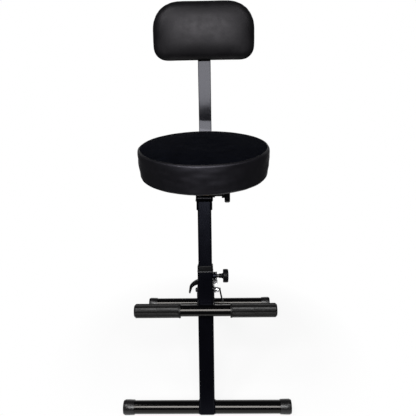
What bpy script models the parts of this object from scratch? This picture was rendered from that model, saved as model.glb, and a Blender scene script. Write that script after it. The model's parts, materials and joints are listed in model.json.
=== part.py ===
"""Folding musician chair: a front leg with a telescoping seat post, a rear leg that folds on a hinge
behind it, a padded round seat, a footrest and a backrest on a sliding bar.
Metres, +Z up, the sitter faces -Y, the origin is on the floor in the middle of the base."""

import math

import bmesh
import bpy
from mathutils import Matrix, Vector

# Fits
GAP = 0.0003
RUNNING = 0.0002
LEAST_BEND = 0.0008
SIDES = 32
SMALL_SIDES = 16
KNOB_SIDES = 24

# Base
BASE_DEPTH = 0.498
FOOT_BAR_RADIUS = 0.0175
FOOT_BAR_WALL = 0.0015
FRONT_BAR_LENGTH = 0.430
REAR_BAR_LENGTH = 0.416
CAP_WALL = 0.0020
CAP_END = 0.008
CAP_GRIP = 0.021
CAP_FLARE = 0.0006
CAP_EDGE = 0.0045
CAP_SOLE_CUT = 0.0008
LEAN = math.radians(17.63)

# Front leg and seat post, measured along the leg from the front foot bar's middle
LEG_SIDE = 0.040
LEG_WALL = 0.0015
LEG_CORNER = 0.0055
LEG_LIP = 0.0010
LEG_FOOT = -0.012
LEG_TOP = 0.370
POST_SIDE = 0.035
POST_WALL = 0.002
POST_CORNER = 0.0045
POST_FOOT = 0.235
BUSH_HEAD = 0.014
BUSH_CHAMFER = 0.0012
BUSH_SKIRT = 0.030
POST_SHOE_HEIGHT = 0.010
POST_HOLE_PITCH = 0.025
POST_HOLES_UP = 4
POST_HOLES_DOWN = 2

# Height pin on the leg's right side, drawn held out so that its tip is clear of the post
PIN_AT = 0.355
PIN_TRAVEL = 0.005
PIN_RADIUS = 0.0030
PIN_GUIDE = 0.006
PIN_CHAMFER = 0.0008
PIN_STEM_RADIUS = 0.0018
PIN_BOSS_RADIUS = 0.0105
PIN_BOSS_LENGTH = 0.0065
PIN_BARREL_RADIUS = 0.0048
PIN_BARREL_LENGTH = 0.020
PIN_BARREL_END = 0.003
PIN_NUT_THICK = 0.003
PIN_NUT_ACROSS = 0.019
PIN_NECK_RADIUS = 0.0060
PIN_NECK_LENGTH = 0.0103
PIN_NECK_FLARE = 0.0018
PIN_KNOB_RADIUS = 0.0177
PIN_KNOB_THICK = 0.0145
PIN_KNOB_EDGE = 0.0017

# Height clamp: a slit down the leg's back wall, two lugs and a cam lever
SLIT_WIDTH = 0.004
SLIT_LENGTH = 0.055
CLAMP_AT = 0.3325
LUG_THICK = 0.004
LUG_INNER = 0.006
LUG_REACH = 0.016
LUG_HEIGHT = 0.013
SKEWER_RADIUS = 0.003
SKEWER_BACK = 0.010
SKEWER_RIGHT = 0.031
LUG_CORNER = 0.005
CLAMP_NUT_ACROSS = 0.0085
CLAMP_WASHER_RADIUS = 0.006
CLAMP_WASHER_THICK = 0.0024
CAM_RADIUS = 0.0072
LEVER_WIDTH = 0.011
LEVER_ELBOW_OUT = 0.0135
LEVER_ELBOW_DROP = 0.0035
LEVER_KNUCKLE_OUT = 0.0198
LEVER_KNUCKLE_DROP = 0.0130
LEVER_KNUCKLE_THICK = 0.0084
LEVER_TIP_OUT = 0.0232
LEVER_DROP = 0.030
LEVER_TIP_THICK = 0.0050
LEVER_STEPS = 6

# Fold hinge behind the leg
PIVOT_AT = 0.307
PIVOT_BACK = 0.045
CHEEK_THICK = 0.0022
CHEEK_FRONT = -0.012
CHEEK_LOW = 0.284
CHEEK_HIGH = 0.3195
CHEEK_CORNER = 0.006
CHEEK_ROUND = 0.017
PIVOT_RADIUS = 0.0045
WASHER_RADIUS = 0.0080
WASHER_THICK = 0.0033
DOME_RADIUS = 0.0062
DOME_LENGTH = 0.0064
DOME_CROWN = 0.0021
STOP_RADIUS = 0.004
STOP_ALONG = 0.020
FOLD_NUT_RADIUS = 0.0073
FOLD_NUT_LENGTH = 0.0070
FOLD_NUT_CROWN = 0.0015
FOLD_LEVER_THICK = 0.0042
FOLD_LEVER_WIDTH = 0.010
FOLD_LEVER_DROP = 0.034
FOLD_LEVER_CORNER = 0.002
FOLD_LEVER_SPLAY = 0.007

# Rear leg
REAR_SIDE = 0.035
REAR_WALL = 0.0015
REAR_CORNER = 0.0045
REAR_FOOT = 0.006
REAR_ABOVE_PIVOT = 0.010
PLUG_WALL = 0.002
PLUG_TONGUE = 0.0015
BUSH_BORE_WALL = 0.002
BUSH_FLANGE_RADIUS = 0.011

# Footrest
FOOTREST_AT = 0.274
FOOTREST_RADIUS = 0.015
FOOTREST_WALL = 0.0015
FOOTREST_LENGTH = 0.352
GRIP_RADIUS = 0.0182
GRIP_LENGTH = 0.118
GRIP_END = 0.005
GRIP_CHAMFER = 0.004
GRIP_FLUTES = 14
GRIP_FLUTE_POINTS = 4
GRIP_FLUTE_DEPTH = 0.0011
GRIP_RIM = 0.0008
SADDLE_THICK = 0.0025
SADDLE_WIDTH = 0.034
SADDLE_HEIGHT = 0.024

# Seat
SEAT_BASE = 0.609
SEAT_BEHIND = 0.0276
SEAT_RADIUS = 0.168
SEAT_TAPER = 0.004
BAND_HEIGHT = 0.067
SEAT_CROWN = 0.014
BAND_THICK = 0.007
BAND_HEM = 0.002
SEAM_ROUND = 0.004
CROWN_STEPS = 6
SEAT_SIDES = 48
BOARD_THICK = 0.012
PLATE_SIDE = 0.160
PLATE_THICK = 0.003
PLATE_CORNER = 0.018
SCREW_SPACING = 0.124
SCREW_RADIUS = 0.0025
SCREW_HEAD_RADIUS = 0.0055
SCREW_HEAD_THICK = 0.0030
SCREW_LENGTH = 0.010
SCREW_SIDES = 12

# Bracket under the seat, which carries the post's socket and guides the back bar
BRACKET_DROP = 0.057
BRACKET_WIDTH = 0.0416
BRACKET_WALL = 0.0020
BRACKET_CORNER = 0.004
BRACKET_FRONT = -0.056
BRACKET_BACK = 0.078
SOCKET_WALL = 0.0024
SOCKET_LENGTH = 0.030

# Back bar and backrest
BAR_WIDTH = 0.037
BAR_THICK = 0.007
BAR_EDGE = 0.0022
BAR_FRONT = -0.053
BEND_START = 0.070
BEND_RADIUS = 0.172
BACK_LEAN = math.radians(10.0)
BAR_UPRIGHT = 0.288
BEND_STEPS = 16
PAD_WIDTH = 0.292
PAD_HEIGHT = 0.165
PAD_THICK = 0.034
PAD_EDGE = 0.003
PAD_SHOULDER = 0.35
PAD_CROWN_INSET = 0.066
PAD_CROWN_POWER = 2.6
PAD_CROWN_STEPS = 9
PAD_LEAST_CORNER = 0.012
PAD_BELOW_TOP = 0.042
PAD_TOP_CORNER = 0.074
PAD_BOTTOM_CORNER = 0.038
BACK_BOARD_THICK = 0.009
BACK_BOARD_MARGIN = 0.012
BACK_BOLT_SPACING = 0.070
BACK_BOLT_RADIUS = 0.003
BACK_BOLT_HEAD_RADIUS = 0.0065
BACK_BOLT_HEAD = 0.0040

# Star knob that clamps the back bar from the right
STAR_STUD_RADIUS = 0.004
STAR_Y = -0.022
STAR_INNER = 0.052
STAR_THICK = 0.014
STAR_RADIUS = 0.0215
STAR_LOBES = 6
STAR_LOBE_DEPTH = 0.0032
STAR_LOBE_POINTS = 8
STAR_EDGE = 0.0025
STAR_HUB_RADIUS = 0.0085
STAR_HUB_LENGTH = 0.007
WELD_NUT_ACROSS = 0.013
WELD_NUT_THICK = 0.0065

FINISHES = {
    "black_powder_coat": ((0.012, 0.012, 0.013), 0.32, 0.0),
    "black_gloss_steel": ((0.008, 0.008, 0.009), 0.16, 0.0),
    "zinc_plate": ((0.62, 0.62, 0.64), 0.30, 1.0),
    "black_oxide": ((0.03, 0.03, 0.032), 0.38, 0.8),
    "black_plastic": ((0.018, 0.018, 0.019), 0.45, 0.0),
    "rubber": ((0.022, 0.022, 0.024), 0.75, 0.0),
    "grip_rubber": ((0.035, 0.035, 0.038), 0.70, 0.0),
    "velour": ((0.010, 0.010, 0.011), 0.95, 0.0),
    "vinyl": ((0.016, 0.016, 0.018), 0.42, 0.0),
    "plywood": ((0.42, 0.29, 0.17), 0.60, 0.0),
}


def clear_scene():
    for old in list(bpy.data.objects):
        bpy.data.objects.remove(old, do_unlink=True)


def finish_named(name):
    found = bpy.data.materials.get(name)
    if found:
        return found
    colour, roughness, metallic = FINISHES[name]
    material = bpy.data.materials.new(name)
    material.use_nodes = True
    shader = material.node_tree.nodes["Principled BSDF"]
    shader.inputs["Base Color"].default_value = (*colour, 1.0)
    shader.inputs["Roughness"].default_value = roughness
    shader.inputs["Metallic"].default_value = metallic
    return material


def empty_at(name, location, tilt=0.0, parent=None):
    marker = bpy.data.objects.new(name, None)
    marker.location = location
    marker.rotation_euler = (tilt, 0.0, 0.0)
    marker.parent = parent
    bpy.context.scene.collection.objects.link(marker)
    return marker


def solid(name, shape, finish, parent=None, location=(0, 0, 0), rotation=(0, 0, 0)):
    bmesh.ops.remove_doubles(shape, verts=shape.verts, dist=1e-6)
    bmesh.ops.recalc_face_normals(shape, faces=shape.faces)
    mesh = bpy.data.meshes.new(name)
    shape.to_mesh(mesh)
    shape.free()
    mesh.shade_smooth()
    mesh.set_sharp_from_angle(angle=math.radians(32))
    body = bpy.data.objects.new(name, mesh)
    body.data.materials.append(finish_named(finish))
    body.parent = parent
    body.location = location
    body.rotation_euler = rotation
    bpy.context.scene.collection.objects.link(body)
    return body


def cut_from(body, shape, parent=None, location=(0, 0, 0), rotation=(0, 0, 0)):
    name = f"{body.name}_cutter_{len(body.modifiers)}"
    cutter = solid(name, shape, "black_oxide", parent, location, rotation)
    cutter.hide_render = True
    cutter.display_type = "WIRE"
    cut = body.modifiers.new("cut", "BOOLEAN")
    cut.operation = "DIFFERENCE"
    cut.solver = "EXACT"
    cut.object = cutter


def turned(profile, sides=SIDES):
    """Spins (radius, height) points about Z; the ends either lie on the axis or close the loop."""
    shape = bmesh.new()
    points = [shape.verts.new((radius, 0.0, height)) for radius, height in profile]
    edges = [shape.edges.new(pair) for pair in zip(points, points[1:])]
    if profile[0][0] > 0:
        edges.append(shape.edges.new((points[-1], points[0])))
    bmesh.ops.spin(
        shape,
        geom=points + edges,
        axis=(0, 0, 1),
        cent=(0, 0, 0),
        angle=2 * math.pi,
        steps=sides,
        use_merge=True,
    )
    return shape


def rod(radius, low, high, sides=SMALL_SIDES):
    return turned([(0, low), (radius, low), (radius, high), (0, high)], sides)


def ring(inner, outer, low, high, sides=SIDES):
    return turned([(inner, low), (outer, low), (outer, high), (inner, high)], sides)


def hexagon(across, low, high):
    return rod(across / math.sqrt(3), low, high, 6)


def rounded_rectangle(half_x, half_y, radii, steps=5):
    """Outline points, counter-clockwise from the lower right, with one radius for each corner."""
    corners = ((1, -1), (1, 1), (-1, 1), (-1, -1))
    points = []
    for turn, ((side_x, side_y), radius) in enumerate(zip(corners, radii)):
        for step in range(steps + 1):
            angle = math.pi / 2 * (turn - 1 + step / steps)
            points.append(
                (
                    side_x * (half_x - radius) + radius * math.cos(angle),
                    side_y * (half_y - radius) + radius * math.sin(angle),
                )
            )
    return points


def loft(rings, closed=False):
    """Skins rings of equal point counts; closed joins the last to the first, else the ends are capped."""
    shape = bmesh.new()
    loops = [[shape.verts.new(point) for point in points] for points in rings]
    pairs = list(zip(loops, loops[1:]))
    if closed:
        pairs.append((loops[-1], loops[0]))
    for first, second in pairs:
        for index in range(len(first)):
            following = (index + 1) % len(first)
            shape.faces.new((first[index], first[following], second[following], second[index]))
    if not closed:
        shape.faces.new(loops[0][::-1])
        shape.faces.new(loops[-1])
    return shape


def at_height(outline, height, slope=0.0):
    return [Vector((x, y, height + slope * y)) for x, y in outline]


def prism(outline, low, high):
    return loft([at_height(outline, low), at_height(outline, high)])


def square_tube(side, wall, corner, low, high, slope=0.0, lip=0.0):
    """Open tube along Z; slope slants its upper end towards +Y and lip eases that end's outer edge."""
    half = side / 2
    outer = rounded_rectangle(half, half, [corner] * 4)
    inner = rounded_rectangle(half - wall, half - wall, [max(corner - wall, LEAST_BEND)] * 4)
    rings = [at_height(outer, low), at_height(outer, high - lip, slope)]
    if lip:
        rings.append(at_height(rounded_rectangle(half - lip, half - lip, [corner - lip] * 4), high, slope))
    rings += [at_height(inner, high, slope), at_height(inner, low)]
    return loft(rings, closed=True)


def block(low, high):
    outline = [(low[0], low[1]), (high[0], low[1]), (high[0], high[1]), (low[0], high[1])]
    return prism(outline, low[2], high[2])


def trimmed(shape, point, normal):
    """Cuts off what lies beyond a plane and closes the cut."""
    bmesh.ops.remove_doubles(shape, verts=shape.verts, dist=1e-6)
    everything = shape.verts[:] + shape.edges[:] + shape.faces[:]
    cut = bmesh.ops.bisect_plane(
        shape, geom=everything, plane_co=point, plane_no=normal, clear_outer=True
    )
    rim = [part for part in cut["geom_cut"] if isinstance(part, bmesh.types.BMEdge)]
    bmesh.ops.edgeloop_fill(shape, edges=rim)
    return shape


def bevel_edges(body, width, segments=2, angle=50.0):
    edge = body.modifiers.new("edges", "BEVEL")
    edge.width = width
    edge.segments = segments
    edge.limit_method = "ANGLE"
    edge.angle_limit = math.radians(angle)


def hull_outline(circles, steps=6):
    """Outline round a convex chain of (y, z, radius) circles, listed counter-clockwise."""
    points = []
    count = len(circles)
    for index, (y, z, radius) in enumerate(circles):
        before = circles[index - 1]
        after = circles[(index + 1) % count]
        start = tangent_angle(before, (y, z, radius))
        end = tangent_angle((y, z, radius), after)
        sweep = (end - start) % (2 * math.pi)
        for step in range(steps + 1):
            angle = start + sweep * step / steps
            points.append((y + radius * math.cos(angle), z + radius * math.sin(angle)))
    return points


def tangent_angle(first, second):
    """Direction of the outer common tangent's normal from one circle to the next."""
    along = math.atan2(second[1] - first[1], second[0] - first[0])
    distance = math.hypot(second[0] - first[0], second[1] - first[1])
    return along - math.acos((first[2] - second[2]) / distance)


ALONG_X = (0.0, math.pi / 2, 0.0)
ALONG_MINUS_X = (0.0, -math.pi / 2, 0.0)
FORWARD = (math.pi / 2, 0.0, 0.0)
PROFILE_TO_YZ = Matrix(((0, 0, 1), (1, 0, 0), (0, 1, 0))).to_euler()


def front_frame_place():
    """Middle of the front foot bar, with the caps' flat soles on the floor."""
    return (0.0, -BASE_DEPTH / 2, foot_bar_height())


def cap_radius():
    return FOOT_BAR_RADIUS + GAP + CAP_WALL


def foot_bar_height():
    return cap_radius() - CAP_SOLE_CUT


def leg_to_world(back, along):
    """Y and Z of a point given by its distance behind the front leg's axis and along it."""
    return (
        -BASE_DEPTH / 2 + along * math.sin(LEAN) + back * math.cos(LEAN),
        foot_bar_height() + along * math.cos(LEAN) - back * math.sin(LEAN),
    )


def height_along_leg(height, back=0.0):
    return (height - foot_bar_height() + back * math.sin(LEAN)) / math.cos(LEAN)


def bracket_bottom():
    return SEAT_BASE - BRACKET_DROP


def seat_place():
    """Seat's middle on the floor plan, a set distance behind the post's upper end."""
    return (0.0, leg_to_world(0.0, height_along_leg(bracket_bottom()))[0] + SEAT_BEHIND, 0.0)


def rear_leg_line():
    """Length of the rear leg from its pivot to its foot bar, and its slope below the horizontal."""
    pivot_y, pivot_z = leg_to_world(PIVOT_BACK, PIVOT_AT)
    reach = BASE_DEPTH / 2 - pivot_y
    fall = pivot_z - foot_bar_height()
    return math.hypot(reach, fall), math.atan2(fall, reach)


def foot_bar(end, frame, length):
    """A round foot bar with a moulded cap on each end, whose flat sole stands on the floor."""
    solid(
        f"{end}_foot_bar",
        ring(FOOT_BAR_RADIUS - FOOT_BAR_WALL, FOOT_BAR_RADIUS, -length / 2, length / 2),
        "black_powder_coat",
        frame,
        rotation=ALONG_X,
    )
    bore = FOOT_BAR_RADIUS + GAP
    outer = cap_radius()
    for side, sign in (("left", -1), ("right", 1)):
        cap = turned(
            [
                (0, GAP),
                (bore, GAP),
                (bore, -CAP_GRIP),
                (outer - CAP_FLARE, -CAP_GRIP),
                (outer, -CAP_GRIP / 3),
                (outer, CAP_END - CAP_EDGE),
                (outer - CAP_EDGE / 2, CAP_END),
                (0, CAP_END),
            ]
        )
        trimmed(cap, (sign * foot_bar_height(), 0, 0), (sign, 0, 0))
        solid(
            f"{end}_foot_cap_{side}",
            cap,
            "rubber",
            frame,
            (sign * length / 2, 0, 0),
            (0, sign * math.pi / 2, 0),
        )


def front_leg(frame):
    tube = solid(
        "front_leg_tube",
        square_tube(LEG_SIDE, LEG_WALL, LEG_CORNER, LEG_FOOT, LEG_TOP, lip=LEG_LIP),
        "black_powder_coat",
        frame,
    )
    cut_from(tube, rod(FOOT_BAR_RADIUS + GAP, -LEG_SIDE, LEG_SIDE, SIDES), frame, rotation=ALONG_X)
    slit = block(
        (-SLIT_WIDTH / 2, LEG_SIDE / 4, LEG_TOP - SLIT_LENGTH),
        (SLIT_WIDTH / 2, LEG_SIDE, LEG_TOP + GAP),
    )
    cut_from(tube, slit, frame)
    cut_from(tube, pin_hole(), frame, (0, 0, PIN_AT), ALONG_X)


def pin_hole():
    """Cutter for the height pin's barrel, through the right-hand wall only."""
    return rod(PIN_BARREL_RADIUS + RUNNING, POST_SIDE / 4, LEG_SIDE)


def height_bush(frame):
    """Collar on the leg's mouth, with a thin skirt between the leg and the post."""
    bore = POST_SIDE / 2 + RUNNING
    skirt = LEG_SIDE / 2 - LEG_WALL - RUNNING
    head = LEG_SIDE / 2
    low = LEG_TOP - BUSH_SKIRT
    seat = LEG_TOP + GAP
    shoulder = seat + BUSH_HEAD - BUSH_CHAMFER
    crown = seat + BUSH_HEAD
    bore_corner = POST_CORNER + RUNNING
    levels = (
        (bore, bore_corner, low),
        (skirt, LEG_CORNER - LEG_WALL, low),
        (skirt, LEG_CORNER - LEG_WALL, seat),
        (head, LEG_CORNER, seat),
        (head, LEG_CORNER, shoulder),
        (head - BUSH_CHAMFER / 2, LEG_CORNER - BUSH_CHAMFER / 4, crown),
        (bore, bore_corner, crown),
    )
    rings = []
    for half, corner, height in levels:
        rings.append(at_height(rounded_rectangle(half, half, [corner] * 4), height))
    bush = solid("height_bush", loft(rings, closed=True), "black_plastic", frame)
    slit = block((-SLIT_WIDTH / 2, LEG_SIDE / 4, low - GAP), (SLIT_WIDTH / 2, LEG_SIDE, seat))
    cut_from(bush, slit, frame)
    cut_from(bush, pin_hole(), frame, (0, 0, PIN_AT), ALONG_X)


def height_pin(frame):
    """Spring pin on the leg's right: boss, threaded barrel and locknut stay, pin and pull knob slide."""
    wall = LEG_SIDE / 2 + GAP
    boss_end = wall + PIN_BOSS_LENGTH
    nut_end = boss_end + GAP + PIN_NUT_THICK
    barrel_start = POST_SIDE / 2 + GAP
    barrel_end = barrel_start + PIN_BARREL_LENGTH
    bore = PIN_BARREL_RADIUS + RUNNING
    place = {"parent": frame, "location": (0, 0, PIN_AT), "rotation": ALONG_X}
    solid("height_pin_boss", ring(bore, PIN_BOSS_RADIUS, wall, boss_end), "black_powder_coat", **place)
    barrel = turned(
        [
            (PIN_RADIUS + RUNNING, barrel_start),
            (PIN_BARREL_RADIUS, barrel_start),
            (PIN_BARREL_RADIUS, barrel_end),
            (PIN_STEM_RADIUS + RUNNING, barrel_end),
            (PIN_STEM_RADIUS + RUNNING, barrel_end - PIN_BARREL_END),
            (PIN_RADIUS + RUNNING, barrel_end - PIN_BARREL_END),
        ],
        SMALL_SIDES,
    )
    solid("height_pin_barrel", barrel, "black_oxide", **place)
    nut_shape = hexagon(PIN_NUT_ACROSS, boss_end + GAP, nut_end)
    nut = solid("height_pin_locknut", nut_shape, "black_oxide", **place)
    cut_from(nut, rod(bore, boss_end - PIN_NUT_THICK, nut_end + PIN_NUT_THICK), **place)

    axis = empty_at("height_pin_axis", (0, 0, PIN_AT), parent=frame)
    ride = {"parent": axis, "rotation": ALONG_X}
    tip = barrel_start + GAP
    shoulder = tip + PIN_GUIDE
    skirt = nut_end + GAP + PIN_TRAVEL
    ceiling = barrel_end + GAP + PIN_TRAVEL
    head = skirt + PIN_NECK_LENGTH
    stem_end = head + PIN_KNOB_THICK / 2
    knob_end = head + PIN_KNOB_THICK
    pin = turned(
        [
            (0, tip),
            (PIN_RADIUS - PIN_CHAMFER, tip),
            (PIN_RADIUS, tip + PIN_CHAMFER),
            (PIN_RADIUS, shoulder),
            (PIN_STEM_RADIUS, shoulder),
            (PIN_STEM_RADIUS, stem_end),
            (0, stem_end),
        ],
        SMALL_SIDES,
    )
    solid("height_pin", pin, "zinc_plate", **ride)
    knob = turned(
        [
            (0, stem_end + GAP),
            (PIN_STEM_RADIUS + GAP, stem_end + GAP),
            (PIN_STEM_RADIUS + GAP, ceiling),
            (bore, ceiling),
            (bore, skirt),
            (PIN_NECK_RADIUS, skirt),
            (PIN_NECK_RADIUS, head - 2 * PIN_NECK_FLARE),
            (PIN_NECK_RADIUS + PIN_NECK_FLARE, head),
            (PIN_KNOB_RADIUS - PIN_KNOB_EDGE, head),
            (PIN_KNOB_RADIUS, head + PIN_KNOB_EDGE),
            (PIN_KNOB_RADIUS, knob_end - 2 * PIN_KNOB_EDGE),
            (PIN_KNOB_RADIUS - PIN_KNOB_EDGE, knob_end - PIN_KNOB_EDGE / 2),
            (PIN_KNOB_RADIUS / 2, knob_end),
            (0, knob_end),
        ],
        KNOB_SIDES,
    )
    solid("height_pin_knob", knob, "black_plastic", **ride)


def height_clamp(frame):
    """Lugs each side of the leg's slit, drawn together by a skewer with a cam lever on the left."""
    back = LEG_SIDE / 2 + SKEWER_BACK
    lug_outer = LUG_INNER + LUG_THICK
    reach = LUG_REACH - GAP
    for side, sign in (("left", -1), ("right", 1)):
        outline = rounded_rectangle(reach / 2, LUG_HEIGHT / 2, [LUG_CORNER, LUG_CORNER, RUNNING, RUNNING])
        middle = (sign * (LUG_INNER + LUG_THICK / 2), LEG_SIDE / 2 + GAP + reach / 2, CLAMP_AT)
        lug = solid(
            f"clamp_lug_{side}",
            prism(outline, -LUG_THICK / 2, LUG_THICK / 2),
            "black_powder_coat",
            frame,
            middle,
            PROFILE_TO_YZ,
        )
        hole = rod(SKEWER_RADIUS + GAP, -LUG_THICK, LUG_THICK)
        cut_from(lug, hole, frame, (middle[0], back, CLAMP_AT), ALONG_X)

    axis = {"parent": frame, "location": (0, back, CLAMP_AT), "rotation": ALONG_X}
    washer_left = lug_outer + GAP + CLAMP_WASHER_THICK
    cam_left = washer_left + GAP + CAM_RADIUS
    solid("clamp_skewer", rod(SKEWER_RADIUS, -washer_left, SKEWER_RIGHT), "zinc_plate", **axis)
    bore = SKEWER_RADIUS + GAP
    washer = ring(bore, CLAMP_WASHER_RADIUS, -washer_left, -lug_outer - GAP, SMALL_SIDES)
    solid("clamp_washer", washer, "black_plastic", **axis)
    nut = solid("clamp_nut", hexagon(CLAMP_NUT_ACROSS, lug_outer + GAP, SKEWER_RIGHT), "zinc_plate", **axis)
    cut_from(nut, rod(bore, lug_outer - GAP, SKEWER_RIGHT + GAP), **axis)

    cam_pin = empty_at("clamp_lever_axis", (-cam_left, back, CLAMP_AT), parent=frame)
    solid("clamp_lever", clamp_lever_shape(), "black_plastic", cam_pin)


def clamp_lever_shape():
    """Broad cam head that curves out and down to a knuckle, then hangs and thins to its tip."""
    stations = []
    for share in (-0.95, -0.72, -0.38):
        half = CAM_RADIUS * math.sqrt(1 - share * share)
        stations.append((share * CAM_RADIUS, 0.0, 0.0, 2 * half))
    elbow = Vector((LEVER_ELBOW_OUT, LEVER_ELBOW_DROP))
    knuckle = Vector((LEVER_KNUCKLE_OUT, LEVER_KNUCKLE_DROP))
    for step in range(LEVER_STEPS + 1):
        share = step / LEVER_STEPS
        place = 2 * share * (1 - share) * elbow + share * share * knuckle
        heading = (1 - share) * elbow + share * (knuckle - elbow)
        thick = 2 * CAM_RADIUS + (LEVER_KNUCKLE_THICK - 2 * CAM_RADIUS) * share
        stations.append((place.x, place.y, math.atan2(heading.y, heading.x), thick))
    hang = math.atan2(LEVER_DROP - LEVER_KNUCKLE_DROP, LEVER_TIP_OUT - LEVER_KNUCKLE_OUT)
    stations.append((LEVER_TIP_OUT, LEVER_DROP - LEVER_TIP_THICK / 2, hang, LEVER_TIP_THICK))
    stations.append((LEVER_TIP_OUT, LEVER_DROP, hang, LEVER_TIP_THICK / 2))
    rings = []
    for out, down, turn, thick in stations:
        across = rounded_rectangle(thick / 2, LEVER_WIDTH / 2, [min(thick, LEVER_WIDTH) / 4] * 4, 2)
        centre = Vector((-out, 0.0, -down))
        normal = Vector((-math.sin(turn), 0.0, math.cos(turn)))
        rings.append([centre + normal * a + Vector((0.0, b, 0.0)) for a, b in across])
    return loft(rings)


def fold_hinge(frame):
    """Two cheeks on the leg's sides carry the pivot bolt and the stop that holds the rear leg open."""
    inner = LEG_SIDE / 2 + GAP
    outer = inner + CHEEK_THICK
    opening = fold_angle()
    down_leg = Vector((math.sin(opening), -math.cos(opening)))
    above_leg = Vector((math.cos(opening), math.sin(opening)))
    pivot = Vector((PIVOT_BACK, PIVOT_AT))
    stop = pivot + down_leg * STOP_ALONG + above_leg * (REAR_SIDE / 2 + GAP + STOP_RADIUS)
    outline = hull_outline(
        (
            (CHEEK_FRONT + CHEEK_CORNER, CHEEK_LOW + CHEEK_CORNER, CHEEK_CORNER),
            (PIVOT_BACK, PIVOT_AT, CHEEK_ROUND),
            (stop.x, stop.y, 2 * STOP_RADIUS),
            (CHEEK_FRONT + CHEEK_CORNER, CHEEK_HIGH - CHEEK_CORNER, CHEEK_CORNER),
        )
    )
    for side, sign in (("left", -1), ("right", 1)):
        middle = sign * (inner + outer) / 2
        cheek = solid(
            f"hinge_cheek_{side}",
            prism(outline, -CHEEK_THICK / 2, CHEEK_THICK / 2),
            "black_powder_coat",
            frame,
            (middle, 0, 0),
            PROFILE_TO_YZ,
        )
        for centre, radius in ((pivot, PIVOT_RADIUS), (stop, STOP_RADIUS)):
            hole = rod(radius + RUNNING, -2 * CHEEK_THICK, 2 * CHEEK_THICK)
            cut_from(cheek, hole, frame, (middle, centre.x, centre.y), ALONG_X)
    stop_rod = rod(STOP_RADIUS, -outer - STOP_RADIUS / 4, outer + STOP_RADIUS / 4)
    solid("leg_stop", stop_rod, "black_oxide", frame, (0, stop.x, stop.y), ALONG_X)

    axis = {"parent": frame, "location": (0, PIVOT_BACK, PIVOT_AT), "rotation": ALONG_X}
    bore = PIVOT_RADIUS + RUNNING
    washer_end = outer + GAP + WASHER_THICK
    nut_end = washer_end + GAP + FOLD_NUT_LENGTH
    dome_start = outer + GAP
    dome_end = dome_start + DOME_LENGTH
    bolt_end = dome_end - DOME_CROWN
    solid("pivot_bolt", rod(PIVOT_RADIUS, -bolt_end, nut_end - GAP), "black_oxide", **axis)
    dome = turned(
        [
            (0, -bolt_end - GAP),
            (bore, -bolt_end - GAP),
            (bore, -dome_start),
            (DOME_RADIUS, -dome_start),
            (DOME_RADIUS, -bolt_end),
            (DOME_RADIUS - DOME_CROWN / 2, -dome_end + DOME_CROWN / 2),
            (DOME_RADIUS / 2, -dome_end + DOME_CROWN / 5),
            (0, -dome_end),
        ],
        SMALL_SIDES,
    )
    solid("pivot_dome_nut", dome, "black_oxide", **axis)
    washer = ring(bore, WASHER_RADIUS, outer + GAP, washer_end, SMALL_SIDES)
    solid("pivot_washer", washer, "black_oxide", **axis)

    turning = empty_at("fold_lever_axis", (0, PIVOT_BACK, PIVOT_AT), parent=frame)
    nut = turned(
        [
            (0, nut_end),
            (bore, nut_end),
            (bore, washer_end + GAP),
            (FOLD_NUT_RADIUS, washer_end + GAP),
            (FOLD_NUT_RADIUS, nut_end),
            (FOLD_NUT_RADIUS - FOLD_NUT_CROWN, nut_end + FOLD_NUT_CROWN),
            (0, nut_end + FOLD_NUT_CROWN),
        ],
        SMALL_SIDES,
    )
    solid("fold_clamp_nut", nut, "zinc_plate", turning, rotation=ALONG_X)
    handle_shape = fold_lever_shape(nut_end + FOLD_NUT_CROWN + GAP)
    handle = solid("fold_lever", handle_shape, "black_powder_coat", turning)
    bevel_edges(handle, FOLD_LEVER_THICK / 4, 1)


def fold_lever_shape(start):
    """Flat handle on the clamp nut's end, splayed outward to its tip so that a finger fits behind it."""
    half = FOLD_LEVER_WIDTH / 2
    heel = -half
    tip = FOLD_LEVER_DROP
    corner = FOLD_LEVER_CORNER
    stations = (
        (heel, FOLD_LEVER_WIDTH - 2 * corner),
        (heel + corner, FOLD_LEVER_WIDTH),
        (0.0, FOLD_LEVER_WIDTH),
        (half, FOLD_LEVER_WIDTH),
        (tip - corner, FOLD_LEVER_WIDTH),
        (tip, FOLD_LEVER_WIDTH - 2 * corner),
    )
    rings = []
    for along, width in stations:
        out = start + FOLD_LEVER_SPLAY * max(along, 0.0) / FOLD_LEVER_DROP
        down = -along
        rings.append(
            [
                Vector((out, -width / 2, down)),
                Vector((out + FOLD_LEVER_THICK, -width / 2, down)),
                Vector((out + FOLD_LEVER_THICK, width / 2, down)),
                Vector((out, width / 2, down)),
            ]
        )
    return loft(rings)


def fold_angle():
    """Angle between the open rear leg and the front leg, both taken downwards from the pivot."""
    slope = rear_leg_line()[1]
    return math.pi / 2 + LEAN - slope


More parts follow.
